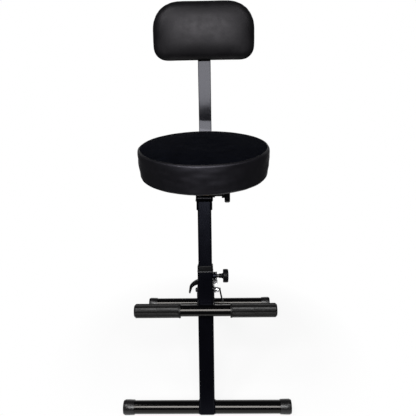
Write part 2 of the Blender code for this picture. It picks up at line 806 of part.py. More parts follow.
def rear_leg(frame):
    """Frame has its origin on the pivot and +Z up the leg."""
    length, slope = rear_leg_line()
    tube = solid(
        "rear_leg_tube",
        square_tube(REAR_SIDE, REAR_WALL, REAR_CORNER, -length + REAR_FOOT, REAR_ABOVE_PIVOT),
        "black_powder_coat",
        frame,
    )
    bush_outer = PIVOT_RADIUS + RUNNING + BUSH_BORE_WALL
    saddle = rod(FOOT_BAR_RADIUS + GAP, -REAR_SIDE, REAR_SIDE, SIDES)
    cut_from(tube, saddle, frame, (0, 0, -length), ALONG_X)
    cut_from(tube, rod(bush_outer + RUNNING, -REAR_SIDE, REAR_SIDE), frame, rotation=ALONG_X)

    bore_half = REAR_SIDE / 2 - REAR_WALL - RUNNING
    tongue = rounded_rectangle(bore_half, bore_half, [REAR_CORNER - REAR_WALL] * 4)
    head = rounded_rectangle(REAR_SIDE / 2, REAR_SIDE / 2, [REAR_CORNER] * 4)
    seat = REAR_ABOVE_PIVOT + GAP
    plug_levels = (
        (tongue, REAR_ABOVE_PIVOT - PLUG_TONGUE),
        (tongue, seat),
        (head, seat),
        (head, seat + PLUG_WALL),
    )
    plug = loft([at_height(outline, height) for outline, height in plug_levels])
    solid("rear_leg_plug", plug, "black_plastic", frame)

    flange_end = LEG_SIDE / 2
    flange_start = REAR_SIDE / 2 + GAP
    bush_start = REAR_SIDE / 2 - REAR_WALL - GAP
    for side, turn in (("left", ALONG_MINUS_X), ("right", ALONG_X)):
        bush = turned(
            [
                (PIVOT_RADIUS + RUNNING, bush_start),
                (bush_outer, bush_start),
                (bush_outer, flange_start),
                (BUSH_FLANGE_RADIUS, flange_start),
                (BUSH_FLANGE_RADIUS, flange_end),
                (PIVOT_RADIUS + RUNNING, flange_end),
            ],
            SMALL_SIDES,
        )
        solid(f"pivot_bush_{side}", bush, "black_plastic", frame, rotation=turn)

    level = empty_at("rear_foot_frame", (0, 0, -length), slope - math.pi / 2, frame)
    foot_bar("rear", level, REAR_BAR_LENGTH)


def footrest(frame):
    """Round bar welded to a saddle on the leg's front, with a fluted rubber grip on each end."""
    ahead = footrest_ahead()
    solid(
        "footrest_bar",
        ring(FOOTREST_RADIUS - FOOTREST_WALL, FOOTREST_RADIUS, -FOOTREST_LENGTH / 2, FOOTREST_LENGTH / 2),
        "black_powder_coat",
        frame,
        (0, -ahead, FOOTREST_AT),
        ALONG_X,
    )
    front = LEG_SIDE / 2 + GAP
    saddle = solid(
        "footrest_saddle",
        block(
            (-SADDLE_WIDTH / 2, -ahead + FOOTREST_RADIUS / 2, FOOTREST_AT - SADDLE_HEIGHT / 2),
            (SADDLE_WIDTH / 2, -front, FOOTREST_AT + SADDLE_HEIGHT / 2),
        ),
        "black_powder_coat",
        frame,
    )
    groove = rod(FOOTREST_RADIUS + GAP, -SADDLE_WIDTH, SADDLE_WIDTH, SIDES)
    cut_from(saddle, groove, frame, (0, -ahead, FOOTREST_AT), ALONG_X)
    for side, turn in (("left", ALONG_MINUS_X), ("right", ALONG_X)):
        solid(
            f"footrest_grip_{side}", grip_shape(), "grip_rubber", frame, (0, -ahead, FOOTREST_AT), turn
        )


def footrest_ahead():
    """Distance of the footrest bar's axis in front of the leg's axis."""
    return LEG_SIDE / 2 + 2 * GAP + SADDLE_THICK + FOOTREST_RADIUS


def fluted_circle(radius, depth, height):
    count = GRIP_FLUTES * GRIP_FLUTE_POINTS
    points = []
    for index in range(count):
        angle = 2 * math.pi * index / count
        wide = radius - depth * (0.5 - 0.5 * math.cos(GRIP_FLUTES * angle))
        points.append(Vector((wide * math.cos(angle), wide * math.sin(angle), height)))
    return points


def grip_shape():
    """Rubber sleeve along +Z, closed at its outer end: a plain rim, then flutes parted by a band."""
    bore = FOOTREST_RADIUS + GAP
    floor = FOOTREST_LENGTH / 2 + GAP
    end = floor + GRIP_END
    mouth = end - GRIP_LENGTH
    band = mouth + GRIP_LENGTH / 2
    rim = GRIP_RADIUS + GRIP_RIM
    levels = (
        (bore, 0.0, floor),
        (bore, 0.0, mouth),
        (rim, 0.0, mouth),
        (rim, 0.0, mouth + GRIP_CHAMFER),
        (GRIP_RADIUS, GRIP_FLUTE_DEPTH, mouth + GRIP_CHAMFER + GRIP_RIM),
        (GRIP_RADIUS, GRIP_FLUTE_DEPTH, band - GRIP_RIM),
        (GRIP_RADIUS, 0.0, band),
        (GRIP_RADIUS, GRIP_FLUTE_DEPTH, band + GRIP_RIM),
        (GRIP_RADIUS, GRIP_FLUTE_DEPTH, end - GRIP_CHAMFER),
        (GRIP_RADIUS - GRIP_CHAMFER, 0.0, end),
    )
    return loft([fluted_circle(*level) for level in levels])


def seat_post(frame):
    """Frame leans with the front leg; the post ends in a socket under the seat's bracket."""
    top = height_along_leg(bracket_bottom() - GAP)
    post = solid(
        "seat_post",
        square_tube(POST_SIDE, POST_WALL, POST_CORNER, POST_FOOT, top, math.tan(LEAN)),
        "black_powder_coat",
        frame,
    )
    for step in range(-POST_HOLES_DOWN, POST_HOLES_UP + 1):
        hole = rod(PIN_RADIUS + GAP, POST_SIDE / 4, POST_SIDE)
        cut_from(post, hole, frame, (0, 0, PIN_AT + step * POST_HOLE_PITCH), ALONG_X)

    tongue_half = POST_SIDE / 2 - POST_WALL - RUNNING
    shoe_half = LEG_SIDE / 2 - LEG_WALL - RUNNING
    tongue = rounded_rectangle(tongue_half, tongue_half, [POST_CORNER - POST_WALL] * 4)
    shoe = rounded_rectangle(shoe_half, shoe_half, [LEG_CORNER - LEG_WALL] * 4)
    levels = (
        (shoe, POST_FOOT - GAP - POST_SHOE_HEIGHT),
        (shoe, POST_FOOT - GAP),
        (tongue, POST_FOOT - GAP),
        (tongue, POST_FOOT + POST_SHOE_HEIGHT),
    )
    shoe_shape = loft([at_height(outline, height) for outline, height in levels])
    solid("post_shoe", shoe_shape, "black_plastic", frame)

    solid(
        "post_socket",
        square_tube(
            POST_SIDE + 2 * (GAP + SOCKET_WALL),
            SOCKET_WALL,
            POST_CORNER + SOCKET_WALL,
            top - SOCKET_LENGTH,
            top,
            math.tan(LEAN),
        ),
        "black_powder_coat",
        frame,
    )


def bar_height():
    """Middle of the back bar where it lies on the bracket's floor."""
    return bracket_bottom() + BRACKET_WALL + GAP + BAR_THICK / 2


def seat_bracket(frame):
    """Box section under the seat plate, open at both ends for the back bar."""
    top = SEAT_BASE - PLATE_THICK - 2 * GAP
    half_height = (top - bracket_bottom()) / 2
    outer = rounded_rectangle(BRACKET_WIDTH / 2, half_height, [BRACKET_CORNER] * 4, 3)
    inner = rounded_rectangle(
        BRACKET_WIDTH / 2 - BRACKET_WALL, half_height - BRACKET_WALL, [BRACKET_CORNER / 4] * 4, 3
    )
    rings = (
        (outer, BRACKET_FRONT),
        (outer, BRACKET_BACK),
        (inner, BRACKET_BACK),
        (inner, BRACKET_FRONT),
    )
    box = solid(
        "seat_bracket",
        loft([at_height(outline, depth) for outline, depth in rings], closed=True),
        "black_powder_coat",
        frame,
        (0, 0, bracket_bottom() + half_height),
        (-math.pi / 2, 0, 0),
    )
    bore = STAR_STUD_RADIUS + GAP
    nut_start = BRACKET_WIDTH / 2 + GAP
    nut_end = nut_start + WELD_NUT_THICK
    place = {"parent": frame, "location": (0, STAR_Y, bar_height()), "rotation": ALONG_X}
    cut_from(box, rod(bore, BRACKET_WIDTH / 4, BRACKET_WIDTH), **place)
    nut = solid("star_weld_nut", hexagon(WELD_NUT_ACROSS, nut_start, nut_end), "zinc_plate", **place)
    cut_from(nut, rod(bore, nut_start - bore, nut_end + bore), **place)


def seat(frame):
    band_inner = SEAT_RADIUS - BAND_THICK - GAP
    board_top = SEAT_BASE + BOARD_THICK
    board = solid(
        "seat_board", rod(band_inner - 2 * GAP, SEAT_BASE, board_top, SEAT_SIDES), "plywood", frame
    )
    plate_low = SEAT_BASE - GAP - PLATE_THICK
    plate_outline = rounded_rectangle(PLATE_SIDE / 2, PLATE_SIDE / 2, [PLATE_CORNER] * 4)
    plate_shape = prism(plate_outline, plate_low, SEAT_BASE - GAP)
    plate = solid("seat_plate", plate_shape, "black_powder_coat", frame)
    screw = [
        (0, plate_low - GAP - SCREW_HEAD_THICK),
        (SCREW_HEAD_RADIUS - SCREW_HEAD_THICK / 2, plate_low - GAP - SCREW_HEAD_THICK),
        (SCREW_HEAD_RADIUS, plate_low - GAP - SCREW_HEAD_THICK / 2),
        (SCREW_HEAD_RADIUS, plate_low - GAP),
        (SCREW_RADIUS, plate_low - GAP),
        (SCREW_RADIUS, plate_low + SCREW_LENGTH),
        (0, plate_low + SCREW_LENGTH),
    ]
    corners = ((-1, -1), (1, -1), (1, 1), (-1, 1))
    for number, (side_x, side_y) in enumerate(corners, 1):
        spot = (side_x * SCREW_SPACING / 2, side_y * SCREW_SPACING / 2, 0)
        solid(f"seat_screw_{number}", turned(screw, SCREW_SIDES), "zinc_plate", frame, spot)
        hole = (plate_low - GAP, plate_low + SCREW_LENGTH + GAP)
        cut_from(plate, rod(SCREW_RADIUS + GAP, *hole, SCREW_SIDES), frame, spot)
        cut_from(board, rod(SCREW_RADIUS + GAP, *hole, SCREW_SIDES), frame, spot)

    seam = SEAT_BASE + BAND_HEIGHT
    inside = band_inner - GAP
    cushion = [
        (0, board_top + GAP),
        (inside, board_top + GAP),
        (inside, seam),
        (SEAT_RADIUS - SEAM_ROUND / 2, seam),
        (SEAT_RADIUS, seam + SEAM_ROUND / 2),
        (SEAT_RADIUS - SEAM_ROUND / 2, seam + SEAM_ROUND),
    ]
    rim = SEAT_RADIUS - SEAM_ROUND
    rise = SEAT_CROWN - SEAM_ROUND
    for step in range(1, CROWN_STEPS + 1):
        radius = rim * (1 - step / CROWN_STEPS)
        cushion.append((radius, seam + SEAM_ROUND + rise * (1 - (radius / rim) ** 2)))
    solid("seat_cushion", turned(cushion, SEAT_SIDES), "velour", frame)

    bottom = SEAT_RADIUS - SEAT_TAPER
    band = [
        (band_inner, SEAT_BASE - GAP),
        (bottom - BAND_HEM, SEAT_BASE - GAP),
        (bottom, SEAT_BASE + BAND_HEM),
        (SEAT_RADIUS - BAND_HEM / 2, (SEAT_BASE + seam) / 2),
        (SEAT_RADIUS, seam - 2 * BAND_HEM),
        (SEAT_RADIUS - BAND_HEM / 2, seam - GAP),
        (band_inner, seam - GAP),
    ]
    solid("seat_band", turned(band, SEAT_SIDES), "vinyl", frame)


def back_bar_outline():
    """Side outline of the bent bar: a level length, a wide bend and an upright that leans back."""
    level = bar_height()
    centre_z = level + BEND_RADIUS
    under = [(BAR_FRONT, level - BAR_THICK / 2)]
    over = [(BAR_FRONT, level + BAR_THICK / 2)]
    for step in range(BEND_STEPS + 1):
        angle = (math.pi / 2 - BACK_LEAN) * step / BEND_STEPS
        for side, radius in ((under, BEND_RADIUS + BAR_THICK / 2), (over, BEND_RADIUS - BAR_THICK / 2)):
            side.append((BEND_START + radius * math.sin(angle), centre_z - radius * math.cos(angle)))
    for side in (under, over):
        y, z = side[-1]
        side.append((y + BAR_UPRIGHT * math.sin(BACK_LEAN), z + BAR_UPRIGHT * math.cos(BACK_LEAN)))
    return under + over[::-1]


def upright_point(along):
    """Point on the upright's middle line, a distance above the bend."""
    angle = math.pi / 2 - BACK_LEAN
    y = BEND_START + BEND_RADIUS * math.sin(angle) + along * math.sin(BACK_LEAN)
    z = bar_height() + BEND_RADIUS * (1 - math.cos(angle)) + along * math.cos(BACK_LEAN)
    return y, z


def backrest(frame):
    bar = solid(
        "back_bar",
        prism(back_bar_outline(), -BAR_WIDTH / 2, BAR_WIDTH / 2),
        "black_gloss_steel",
        frame,
        rotation=PROFILE_TO_YZ,
    )
    bevel_edges(bar, BAR_EDGE)

    middle_y, middle_z = upright_point(BAR_UPRIGHT - PAD_BELOW_TOP)
    pad_frame = empty_at("backrest_frame", (0, middle_y, middle_z), -BACK_LEAN, frame)
    bar_face = BAR_THICK / 2
    board_front = bar_face + GAP + BACK_BOARD_THICK
    board_outline = pad_outline(BACK_BOARD_MARGIN)
    board = solid(
        "back_board",
        loft([at_depth(board_outline, bar_face + GAP), at_depth(board_outline, board_front)]),
        "plywood",
        pad_frame,
    )
    solid("back_pad", back_pad_shape(board_front + GAP), "vinyl", pad_frame)

    bolt_end = bar_face + BACK_BOARD_THICK
    bolt = [
        (0, -bar_face - GAP - BACK_BOLT_HEAD),
        (BACK_BOLT_HEAD_RADIUS - BACK_BOLT_HEAD * 2 / 3, -bar_face - GAP - BACK_BOLT_HEAD),
        (BACK_BOLT_HEAD_RADIUS, -bar_face - GAP - BACK_BOLT_HEAD / 3),
        (BACK_BOLT_HEAD_RADIUS, -bar_face - GAP),
        (BACK_BOLT_RADIUS, -bar_face - GAP),
        (BACK_BOLT_RADIUS, bolt_end - GAP),
        (0, bolt_end - GAP),
    ]
    for place, sign in (("lower", -1), ("upper", 1)):
        spot = (0, 0, sign * BACK_BOLT_SPACING / 2)
        solid(f"back_bolt_{place}", turned(bolt, SMALL_SIDES), "zinc_plate", pad_frame, spot, FORWARD)
        for holder in (bar, board):
            hole = rod(BACK_BOLT_RADIUS + GAP, -bar_face - GAP, bolt_end)
            cut_from(holder, hole, pad_frame, spot, FORWARD)


def pad_outline(inset):
    """Front outline of the backrest, drawn in by a distance, as (x, z) points."""
    low = max(PAD_BOTTOM_CORNER - inset, PAD_LEAST_CORNER)
    high = max(PAD_TOP_CORNER - inset, PAD_LEAST_CORNER)
    return rounded_rectangle(PAD_WIDTH / 2 - inset, PAD_HEIGHT / 2 - inset, [low, high, high, low], 6)


def at_depth(outline, ahead):
    return [Vector((x, -ahead, z)) for x, z in outline]


def back_pad_shape(start):
    """Flat back, drawn-in sides and a front crowned to its middle, skinned through shrinking outlines."""
    rings = [at_depth(pad_outline(PAD_EDGE), start), at_depth(pad_outline(0.0), start + PAD_EDGE)]
    shoulder = start + PAD_THICK * PAD_SHOULDER
    rings.append(at_depth(pad_outline(0.0), shoulder))
    for step in range(1, PAD_CROWN_STEPS + 1):
        share = (step / PAD_CROWN_STEPS) ** 2
        rise = (1 - (1 - share) ** PAD_CROWN_POWER) ** (1 / PAD_CROWN_POWER)
        ahead = shoulder + (start + PAD_THICK - shoulder) * rise
        rings.append(at_depth(pad_outline(PAD_CROWN_INSET * share), ahead))
    return loft(rings)


def circle_ring(radius, height):
    return star_ring(radius, 0.0, height)


def star_ring(radius, depth, height):
    count = STAR_LOBES * STAR_LOBE_POINTS
    points = []
    for i in range(count):
        angle = 2 * math.pi * i / count
        wide = radius - depth * (0.5 - 0.5 * math.cos(STAR_LOBES * angle))
        points.append(Vector((wide * math.cos(angle), wide * math.sin(angle), height)))
    return points


def star_knob(frame):
    """Clamp screw for the back bar: its stud runs through the weld nut to the bar's edge."""
    axis = empty_at("star_knob_axis", (0, STAR_Y, bar_height()), parent=frame)
    bar_edge = BAR_WIDTH / 2 + GAP
    stud_end = STAR_INNER + STAR_THICK / 2
    stud = rod(STAR_STUD_RADIUS, bar_edge, stud_end)
    solid("star_stud", stud, "zinc_plate", axis, rotation=ALONG_X)
    bore = STAR_STUD_RADIUS + GAP
    outer = STAR_INNER + STAR_THICK
    edge = STAR_EDGE
    rings = [
        circle_ring(bore, stud_end + GAP),
        circle_ring(bore, STAR_INNER - STAR_HUB_LENGTH),
        circle_ring(STAR_HUB_RADIUS, STAR_INNER - STAR_HUB_LENGTH),
        circle_ring(STAR_HUB_RADIUS, STAR_INNER),
        star_ring(STAR_RADIUS - edge, STAR_LOBE_DEPTH, STAR_INNER),
        star_ring(STAR_RADIUS, STAR_LOBE_DEPTH, STAR_INNER + edge),
        star_ring(STAR_RADIUS, STAR_LOBE_DEPTH, outer - edge),
        star_ring(STAR_RADIUS - edge, STAR_LOBE_DEPTH, outer),
    ]
    solid("star_knob", loft(rings), "black_plastic", axis, rotation=ALONG_X)


def main():
    clear_scene()
    foot = front_frame_place()
    front_frame = empty_at("front_leg_frame", foot, -LEAN)
    front_leg(front_frame)
    foot_bar("front", empty_at("front_foot_frame", foot), FRONT_BAR_LENGTH)
    height_bush(front_frame)
    height_pin(front_frame)
    height_clamp(front_frame)
    fold_hinge(front_frame)
    footrest(front_frame)

    slope = rear_leg_line()[1]
    rear_leg(empty_at("rear_leg_frame", (0, *leg_to_world(PIVOT_BACK, PIVOT_AT)), math.pi / 2 - slope))

    seat_post(empty_at("seat_post_frame", foot, -LEAN))
    seat_frame = empty_at("seat_frame", seat_place())
    seat_bracket(seat_frame)
    seat(seat_frame)
    star_knob(seat_frame)
    backrest(empty_at("back_bar_frame", seat_place()))


main()
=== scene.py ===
import bmesh
import bpy
import json
import math
import numpy as np
from mathutils import Matrix, Vector, noise


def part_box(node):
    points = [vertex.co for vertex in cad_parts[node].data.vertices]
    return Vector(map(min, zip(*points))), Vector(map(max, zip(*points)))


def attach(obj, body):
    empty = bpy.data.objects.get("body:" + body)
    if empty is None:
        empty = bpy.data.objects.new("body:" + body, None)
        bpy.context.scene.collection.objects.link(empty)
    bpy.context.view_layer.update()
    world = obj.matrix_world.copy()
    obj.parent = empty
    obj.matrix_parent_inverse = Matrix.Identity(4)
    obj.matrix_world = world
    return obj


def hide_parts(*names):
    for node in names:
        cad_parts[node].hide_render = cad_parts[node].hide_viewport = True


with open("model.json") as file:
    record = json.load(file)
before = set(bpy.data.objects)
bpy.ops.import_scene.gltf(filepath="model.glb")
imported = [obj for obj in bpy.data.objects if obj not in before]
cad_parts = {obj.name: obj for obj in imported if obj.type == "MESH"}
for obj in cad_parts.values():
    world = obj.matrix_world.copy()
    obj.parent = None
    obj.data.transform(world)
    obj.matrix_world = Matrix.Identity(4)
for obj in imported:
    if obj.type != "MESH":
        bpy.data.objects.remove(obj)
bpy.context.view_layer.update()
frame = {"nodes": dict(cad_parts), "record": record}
nodes = frame["nodes"]
print("frame loaded:", len(nodes), "solids")


# camera

cameraSet = {
    "place": (0.0339, -1.2568, 1.0044),
    "pitchDown": 0.3877,
    "yaw": -0.0213,
    "roll": -0.0199,
    "focalPixels": 488.9,
    "picturePixels": 416,
    "sensor": 36.0,
    "clip": (0.05, 60),
}


def makeCamera():
    c = cameraSet
    lens = bpy.data.cameras.new("photoCamera")
    lens.sensor_width = c["sensor"]
    lens.lens = c["focalPixels"] / c["picturePixels"] * c["sensor"]
    lens.clip_start, lens.clip_end = c["clip"]
    pitch, yaw, roll = c["pitchDown"], c["yaw"], c["roll"]
    level = math.cos(pitch)
    ahead = Vector((math.sin(yaw) * level, math.cos(yaw) * level, -math.sin(pitch)))
    right = Vector((math.cos(yaw), -math.sin(yaw), 0))
    up = right.cross(ahead)
    rightRolled = math.cos(roll) * right + math.sin(roll) * up
    upRolled = -math.sin(roll) * right + math.cos(roll) * up
    turn = Matrix((rightRolled, upRolled, -ahead)).transposed().to_4x4()
    camera = bpy.data.objects.new("photoCamera", lens)
    camera.matrix_world = Matrix.Translation(c["place"]) @ turn
    bpy.context.scene.collection.objects.link(camera)
    bpy.context.scene.camera = camera
    print("camera: lens", round(lens.lens, 1), "mm")


# node helpers for the finishes

noiseSpan = (0.3, 0.7)    # most values of a noise texture lie in here


class Finish:
    def __init__(self, name):
        self.material = bpy.data.materials.new(name)
        self.material.use_nodes = True
        self.tree = self.material.node_tree
        self.shader = self.tree.nodes["Principled BSDF"]
        self.spot = self.add("ShaderNodeTexCoord").outputs["Object"]

    def add(self, kind, **settings):
        node = self.tree.nodes.new(kind)
        for key, value in settings.items():
            setattr(node, key, value)
        return node

    def join(self, start, end):
        self.tree.links.new(start, end)

    def put(self, socket, value):
        self.shader.inputs[socket].default_value = value

    def noise(self, scale, detail=3.0, rough=0.5, stretch=None):
        tex = self.add("ShaderNodeTexNoise")
        tex.inputs["Scale"].default_value = scale
        tex.inputs["Detail"].default_value = detail
        tex.inputs["Roughness"].default_value = rough
        self.join(self.stretched(stretch), tex.inputs["Vector"])
        return tex.outputs["Fac"]

    def cells(self, scale, kind="F1"):
        tex = self.add("ShaderNodeTexVoronoi", feature=kind)
        tex.inputs["Scale"].default_value = scale
        self.join(self.spot, tex.inputs["Vector"])
        return tex.outputs["Distance"]

    def stretched(self, stretch):
        if stretch is None:
            return self.spot
        pull = self.add("ShaderNodeMapping")
        pull.inputs["Scale"].default_value = stretch
        self.join(self.spot, pull.inputs["Vector"])
        return pull.outputs["Vector"]

    def spread(self, value, low, high, span=noiseSpan):
        tune = self.add("ShaderNodeMapRange")
        tune.inputs["From Min"].default_value = span[0]
        tune.inputs["From Max"].default_value = span[1]
        tune.inputs["To Min"].default_value = low
        tune.inputs["To Max"].default_value = high
        self.join(value, tune.inputs["Value"])
        return tune.outputs["Result"]

    def times(self, value, factor):
        product = self.add("ShaderNodeMath", operation="MULTIPLY")
        self.join(value, product.inputs[0])
        product.inputs[1].default_value = factor
        return product.outputs["Value"]

    def plus(self, first, second):
        total = self.add("ShaderNodeMath", operation="ADD")
        self.join(first, total.inputs[0])
        self.join(second, total.inputs[1])
        return total.outputs["Value"]

    def colours(self, value, dark, light):
        ramp = self.add("ShaderNodeValToRGB")
        for stop, place, colour in zip(ramp.color_ramp.elements, noiseSpan, (dark, light)):
            stop.position = place
            stop.color = (*colour, 1)
        self.join(value, ramp.inputs["Fac"])
        return ramp.outputs["Color"]

    def blend(self, share, first, second):
        mix = self.add("ShaderNodeMix", data_type="RGBA")
        self.join(share, mix.inputs[0])
        self.join(first, mix.inputs[6])    # the node's two colours, after its numbers and vectors
        self.join(second, mix.inputs[7])
        return mix.outputs[2]

    def colour(self, value):
        self.join(value, self.shader.inputs["Base Color"])

    def roughness(self, value):
        self.join(value, self.shader.inputs["Roughness"])

    def relief(self, height, depth, strength):
        bump = self.add("ShaderNodeBump")
        bump.inputs["Strength"].default_value = strength
        bump.inputs["Distance"].default_value = depth
        self.join(height, bump.inputs["Height"])
        self.join(bump.outputs["Normal"], self.shader.inputs["Normal"])

    def edgeWearAndHighlight(self, reach, low, high):
        # how far the normal turns within reach: 0 on a flat, 1 on an edge, where the coat gets its lighter
        # edge colour, partly rubbed paint and partly painted highlight
        soft = self.add("ShaderNodeBevel", samples=4)
        soft.inputs["Radius"].default_value = reach
        turn = self.add("ShaderNodeVectorMath", operation="DOT_PRODUCT")
        self.join(soft.outputs["Normal"], turn.inputs[0])
        self.join(self.add("ShaderNodeNewGeometry").outputs["Normal"], turn.inputs[1])
        return self.spread(turn.outputs["Value"], 1.0, 0.0, (low, high))

    def mottled(self, p):
        return self.colours(self.noise(*p["mottle"]), p["dark"], p["light"])

    def surface(self, p, height):
        # cloudy gloss and fine relief
        self.roughness(self.spread(self.noise(*p["cloud"]), *p["rough"]))
        self.put("Specular IOR Level", p["shine"])
        self.relief(height, *p["depth"])


# in each finish a texture is its scale and detail, then roughness and stretch,
# and depth is the relief's depth in metres and its strength

powderSet = {
    "dark": (0.0010, 0.0010, 0.0017),
    "light": (0.0016, 0.0016, 0.0026),
    "mottle": (14, 4),
    # lighter colour for the edges: partly paint rubbed thin, partly a painted highlight along them
    "rubbedAndHighlit": (0.022, 0.022, 0.024),
    "edgeNoise": (260, 2),
    "edge": (0.0008, 0.80, 0.98),
    "rough": (0.22, 0.30),
    "cloud": (32, 5),
    "shine": 0.078,
    "tint": (0.68, 0.72, 1.0),
    "peel": (240, 2),
    "depth": (0.000004, 0.2),
}
# the round tubes are burnished to a higher gloss than the square ones
roundSet = {
    "dark": (0.0010, 0.0010, 0.0012),
    "light": (0.0014, 0.0014, 0.0017),
    "mottle": (14, 4),
    # lighter colour for the edges: partly paint rubbed thin, partly a painted highlight along them
    "rubbedAndHighlit": (0.011, 0.011, 0.012),
    "edgeNoise": (260, 2),
    "edge": (0.0008, 0.80, 0.98),
    "rough": (0.09, 0.11),
    "cloud": (32, 5),
    "shine": 0.26,
    "tint": (1.0, 0.96, 0.91),
    "peel": (90, 2),
    "depth": (0.000001, 0.2),
}


def blackPowderCoat(name, p):
    f = Finish(name)
    # the edges take a lighter colour: partly rubbed paint, partly a painted highlight
    rubbedAndHighlit = f.colours(f.noise(*p["edgeNoise"]), p["dark"], p["rubbedAndHighlit"])
    f.colour(f.blend(f.edgeWearAndHighlight(*p["edge"]), f.mottled(p), rubbedAndHighlit))
    f.surface(p, f.noise(*p["peel"]))    # orange peel
    f.put("Specular Tint", (*p["tint"], 1))
    return f.material


glossSet = {
    "dark": (0.0040, 0.0040, 0.0052),
    "light": (0.0060, 0.0060, 0.0076),
    "mottle": (18, 4),
    "rough": (0.08, 0.10),
    "cloud": (24, 5, 0.6, (1, 1, 0.35)),
    "shine": 0.19,
    "tint": (0.90, 0.90, 1.0),
    "drawn": (900, 3, 0.6, (1, 1, 0.02)),
    "depth": (0.000006, 0.25),
}


def barPaint():
    p = glossSet
    f = Finish("barPaint")
    f.colour(f.mottled(p))
    f.surface(p, f.noise(*p["drawn"]))    # drawing lines along the bar
    f.put("Specular Tint", (*p["tint"], 1))
    return f.material


zincSet = {
    "dark": (0.50, 0.50, 0.53),
    "light": (0.72, 0.72, 0.74),
    "mottle": (190, 4),
    "rough": (0.22, 0.36),
    "cloud": (420, 3),
    "shine": 0.5,
    "metal": 1.0,
    "spangle": (900, 2),
    "depth": (0.00008, 0.3),
}
oxideSet = {
    "dark": (0.007, 0.007, 0.008),
    "light": (0.015, 0.015, 0.016),
    "mottle": (240, 4),
    "rough": (0.18, 0.28),
    "cloud": (300, 3),
    "shine": 0.5,
    "metal": 0.6,
    "spangle": (700, 2),
    "depth": (0.00008, 0.3),
}


def platedSteel(name, p):
    f = Finish(name)
    f.colour(f.mottled(p))
    f.surface(p, f.noise(*p["spangle"]))
    f.put("Metallic", p["metal"])
    return f.material


plasticSet = {
    "dark": (0.0020, 0.0020, 0.0024),
    "light": (0.0034, 0.0034, 0.0039),
    "mottle": (60, 4),
    "rough": (0.28, 0.38),
    "cloud": (150, 4),
    "shine": 0.07,
    "sparks": 1500,
    "depth": (0.0001, 0.35),
}


def mouldedPlastic():
    p = plasticSet
    f = Finish("mouldedPlastic")
    f.colour(f.mottled(p))
    f.surface(p, f.cells(p["sparks"]))    # spark-eroded mould texture
    return f.material


capSet = {
    "dark": (0.0030, 0.0028, 0.0030),
    "light": (0.0100, 0.0094, 0.0100),
    "mottle": (90, 5),
    "rough": (0.24, 0.36),
    "cloud": (120, 4),
    "shine": 0.38,
    "scuffs": (650, 3),
    "depth": (0.0001, 0.3),
}
gripSet = {
    "dark": (0.0048, 0.0047, 0.0048),
    "light": (0.0088, 0.0085, 0.0086),
    "mottle": (70, 5, 0.55, (0.25, 1, 1)),
    "rough": (0.30, 0.40),
    "cloud": (110, 4),
    "shine": 0.15,
    "scuffs": (800, 3),
    "depth": (0.0001, 0.3),
}
# a lighter ring round the leg's mouth: a painted highlight line on its top edge
highlitRimSet = {
    "dark": (0.030, 0.030, 0.033),
    "light": (0.060, 0.060, 0.065),
    "mottle": (130, 4),
    "rough": (0.28, 0.40),
    "cloud": (200, 3),
    "shine": 0.3,
    "scuffs": (500, 2),
    "depth": (0.00005, 0.3),
}


def scuffed(name, p):
    f = Finish(name)
    f.colour(f.mottled(p))
    f.surface(p, f.noise(*p["scuffs"]))
    return f.material


velourSet = {
    "dark": (0.0003, 0.0004, 0.0009),
    "light": (0.0022, 0.0026, 0.0044),
    "brush": (26, 4, 0.6, (1, 2.2, 1)),
    "pile": (1500, 2),
    "colourShares": (0.7, 0.3),
    "rough": (0.86, 0.98),
    "shine": 0.012,
    "sheen": 0.006,
    "sheenRough": 0.45,
    "sheenTint": (0.40, 0.43, 0.60),
    "brushRelief": 0.6,
    "depth": (0.0005, 0.5),
}


def velourPile():
    p = velourSet
    f = Finish("velourPile")
    brushed = f.noise(*p["brush"])
    fibres = f.noise(*p["pile"])
    brushShare, pileShare = p["colourShares"]
    shade = f.plus(f.times(brushed, brushShare), f.times(fibres, pileShare))
    f.colour(f.colours(shade, p["dark"], p["light"]))
    f.roughness(f.spread(fibres, *p["rough"]))
    f.put("Specular IOR Level", p["shine"])
    f.put("Sheen Weight", p["sheen"])
    f.put("Sheen Roughness", p["sheenRough"])
    f.put("Sheen Tint", (*p["sheenTint"], 1))
    f.relief(f.plus(fibres, f.times(brushed, p["brushRelief"])), *p["depth"])
    return f.material


vinylSet = {
    "dark": (0.0032, 0.0031, 0.0037),
    "light": (0.0050, 0.0048, 0.0055),
    "mottle": (22, 5),
    "rough": (0.38, 0.47),
    "cloud": (60, 5),
    "shine": 0.152,
    "tint": (0.98, 0.94, 1.0),
    "coat": 0.0,
    "coatRough": 0.30,
    "pebbles": 950,
    "creases": (427.5, 4, 0.6),
    "creaseShare": 0.7,
    "depth": (0.00010, 0.3),
}
# the band's vinyl is duller in its grain, with a skin that shines at the edge
bandSet = {
    "dark": (0.0006, 0.0006, 0.0009),
    "light": (0.0012, 0.0011, 0.0016),
    "mottle": (22, 5),
    "rough": (0.50, 0.58),
    "cloud": (60, 5),
    "shine": 0.40,
    "tint": (0.86, 0.83, 1.0),
    "coat": 0.10,
    "coatRough": 0.30,
    "pebbles": 950,
    "creases": (427.5, 4, 0.6),
    "creaseShare": 0.7,
    "depth": (0.00010, 0.3),
}


def vinylSkin(name, p):
    f = Finish(name)
    f.colour(f.mottled(p))
    pebbles = f.cells(p["pebbles"], "SMOOTH_F1")
    creases = f.noise(*p["creases"])
    f.surface(p, f.plus(pebbles, f.times(creases, p["creaseShare"])))
    f.put("Specular Tint", (*p["tint"], 1))
    f.put("Coat Weight", p["coat"])
    f.put("Coat Roughness", p["coatRough"])
    return f.material


woodSet = {
    "dark": (0.070, 0.046, 0.026),
    "light": (0.130, 0.090, 0.055),
}
stainedSet = {
    "dark": (0.006, 0.005, 0.005),
    "light": (0.014, 0.012, 0.011),
}
veneerSet = {
    "rings": (9, 6, 0.65, (0.6, 9, 9)),
    "pores": (60, 3, 0.6, (0.3, 14, 14)),
    "colourShares": (0.7, 0.3),
    "rough": (0.55, 0.75),
    "depth": (0.0004, 0.4),
}


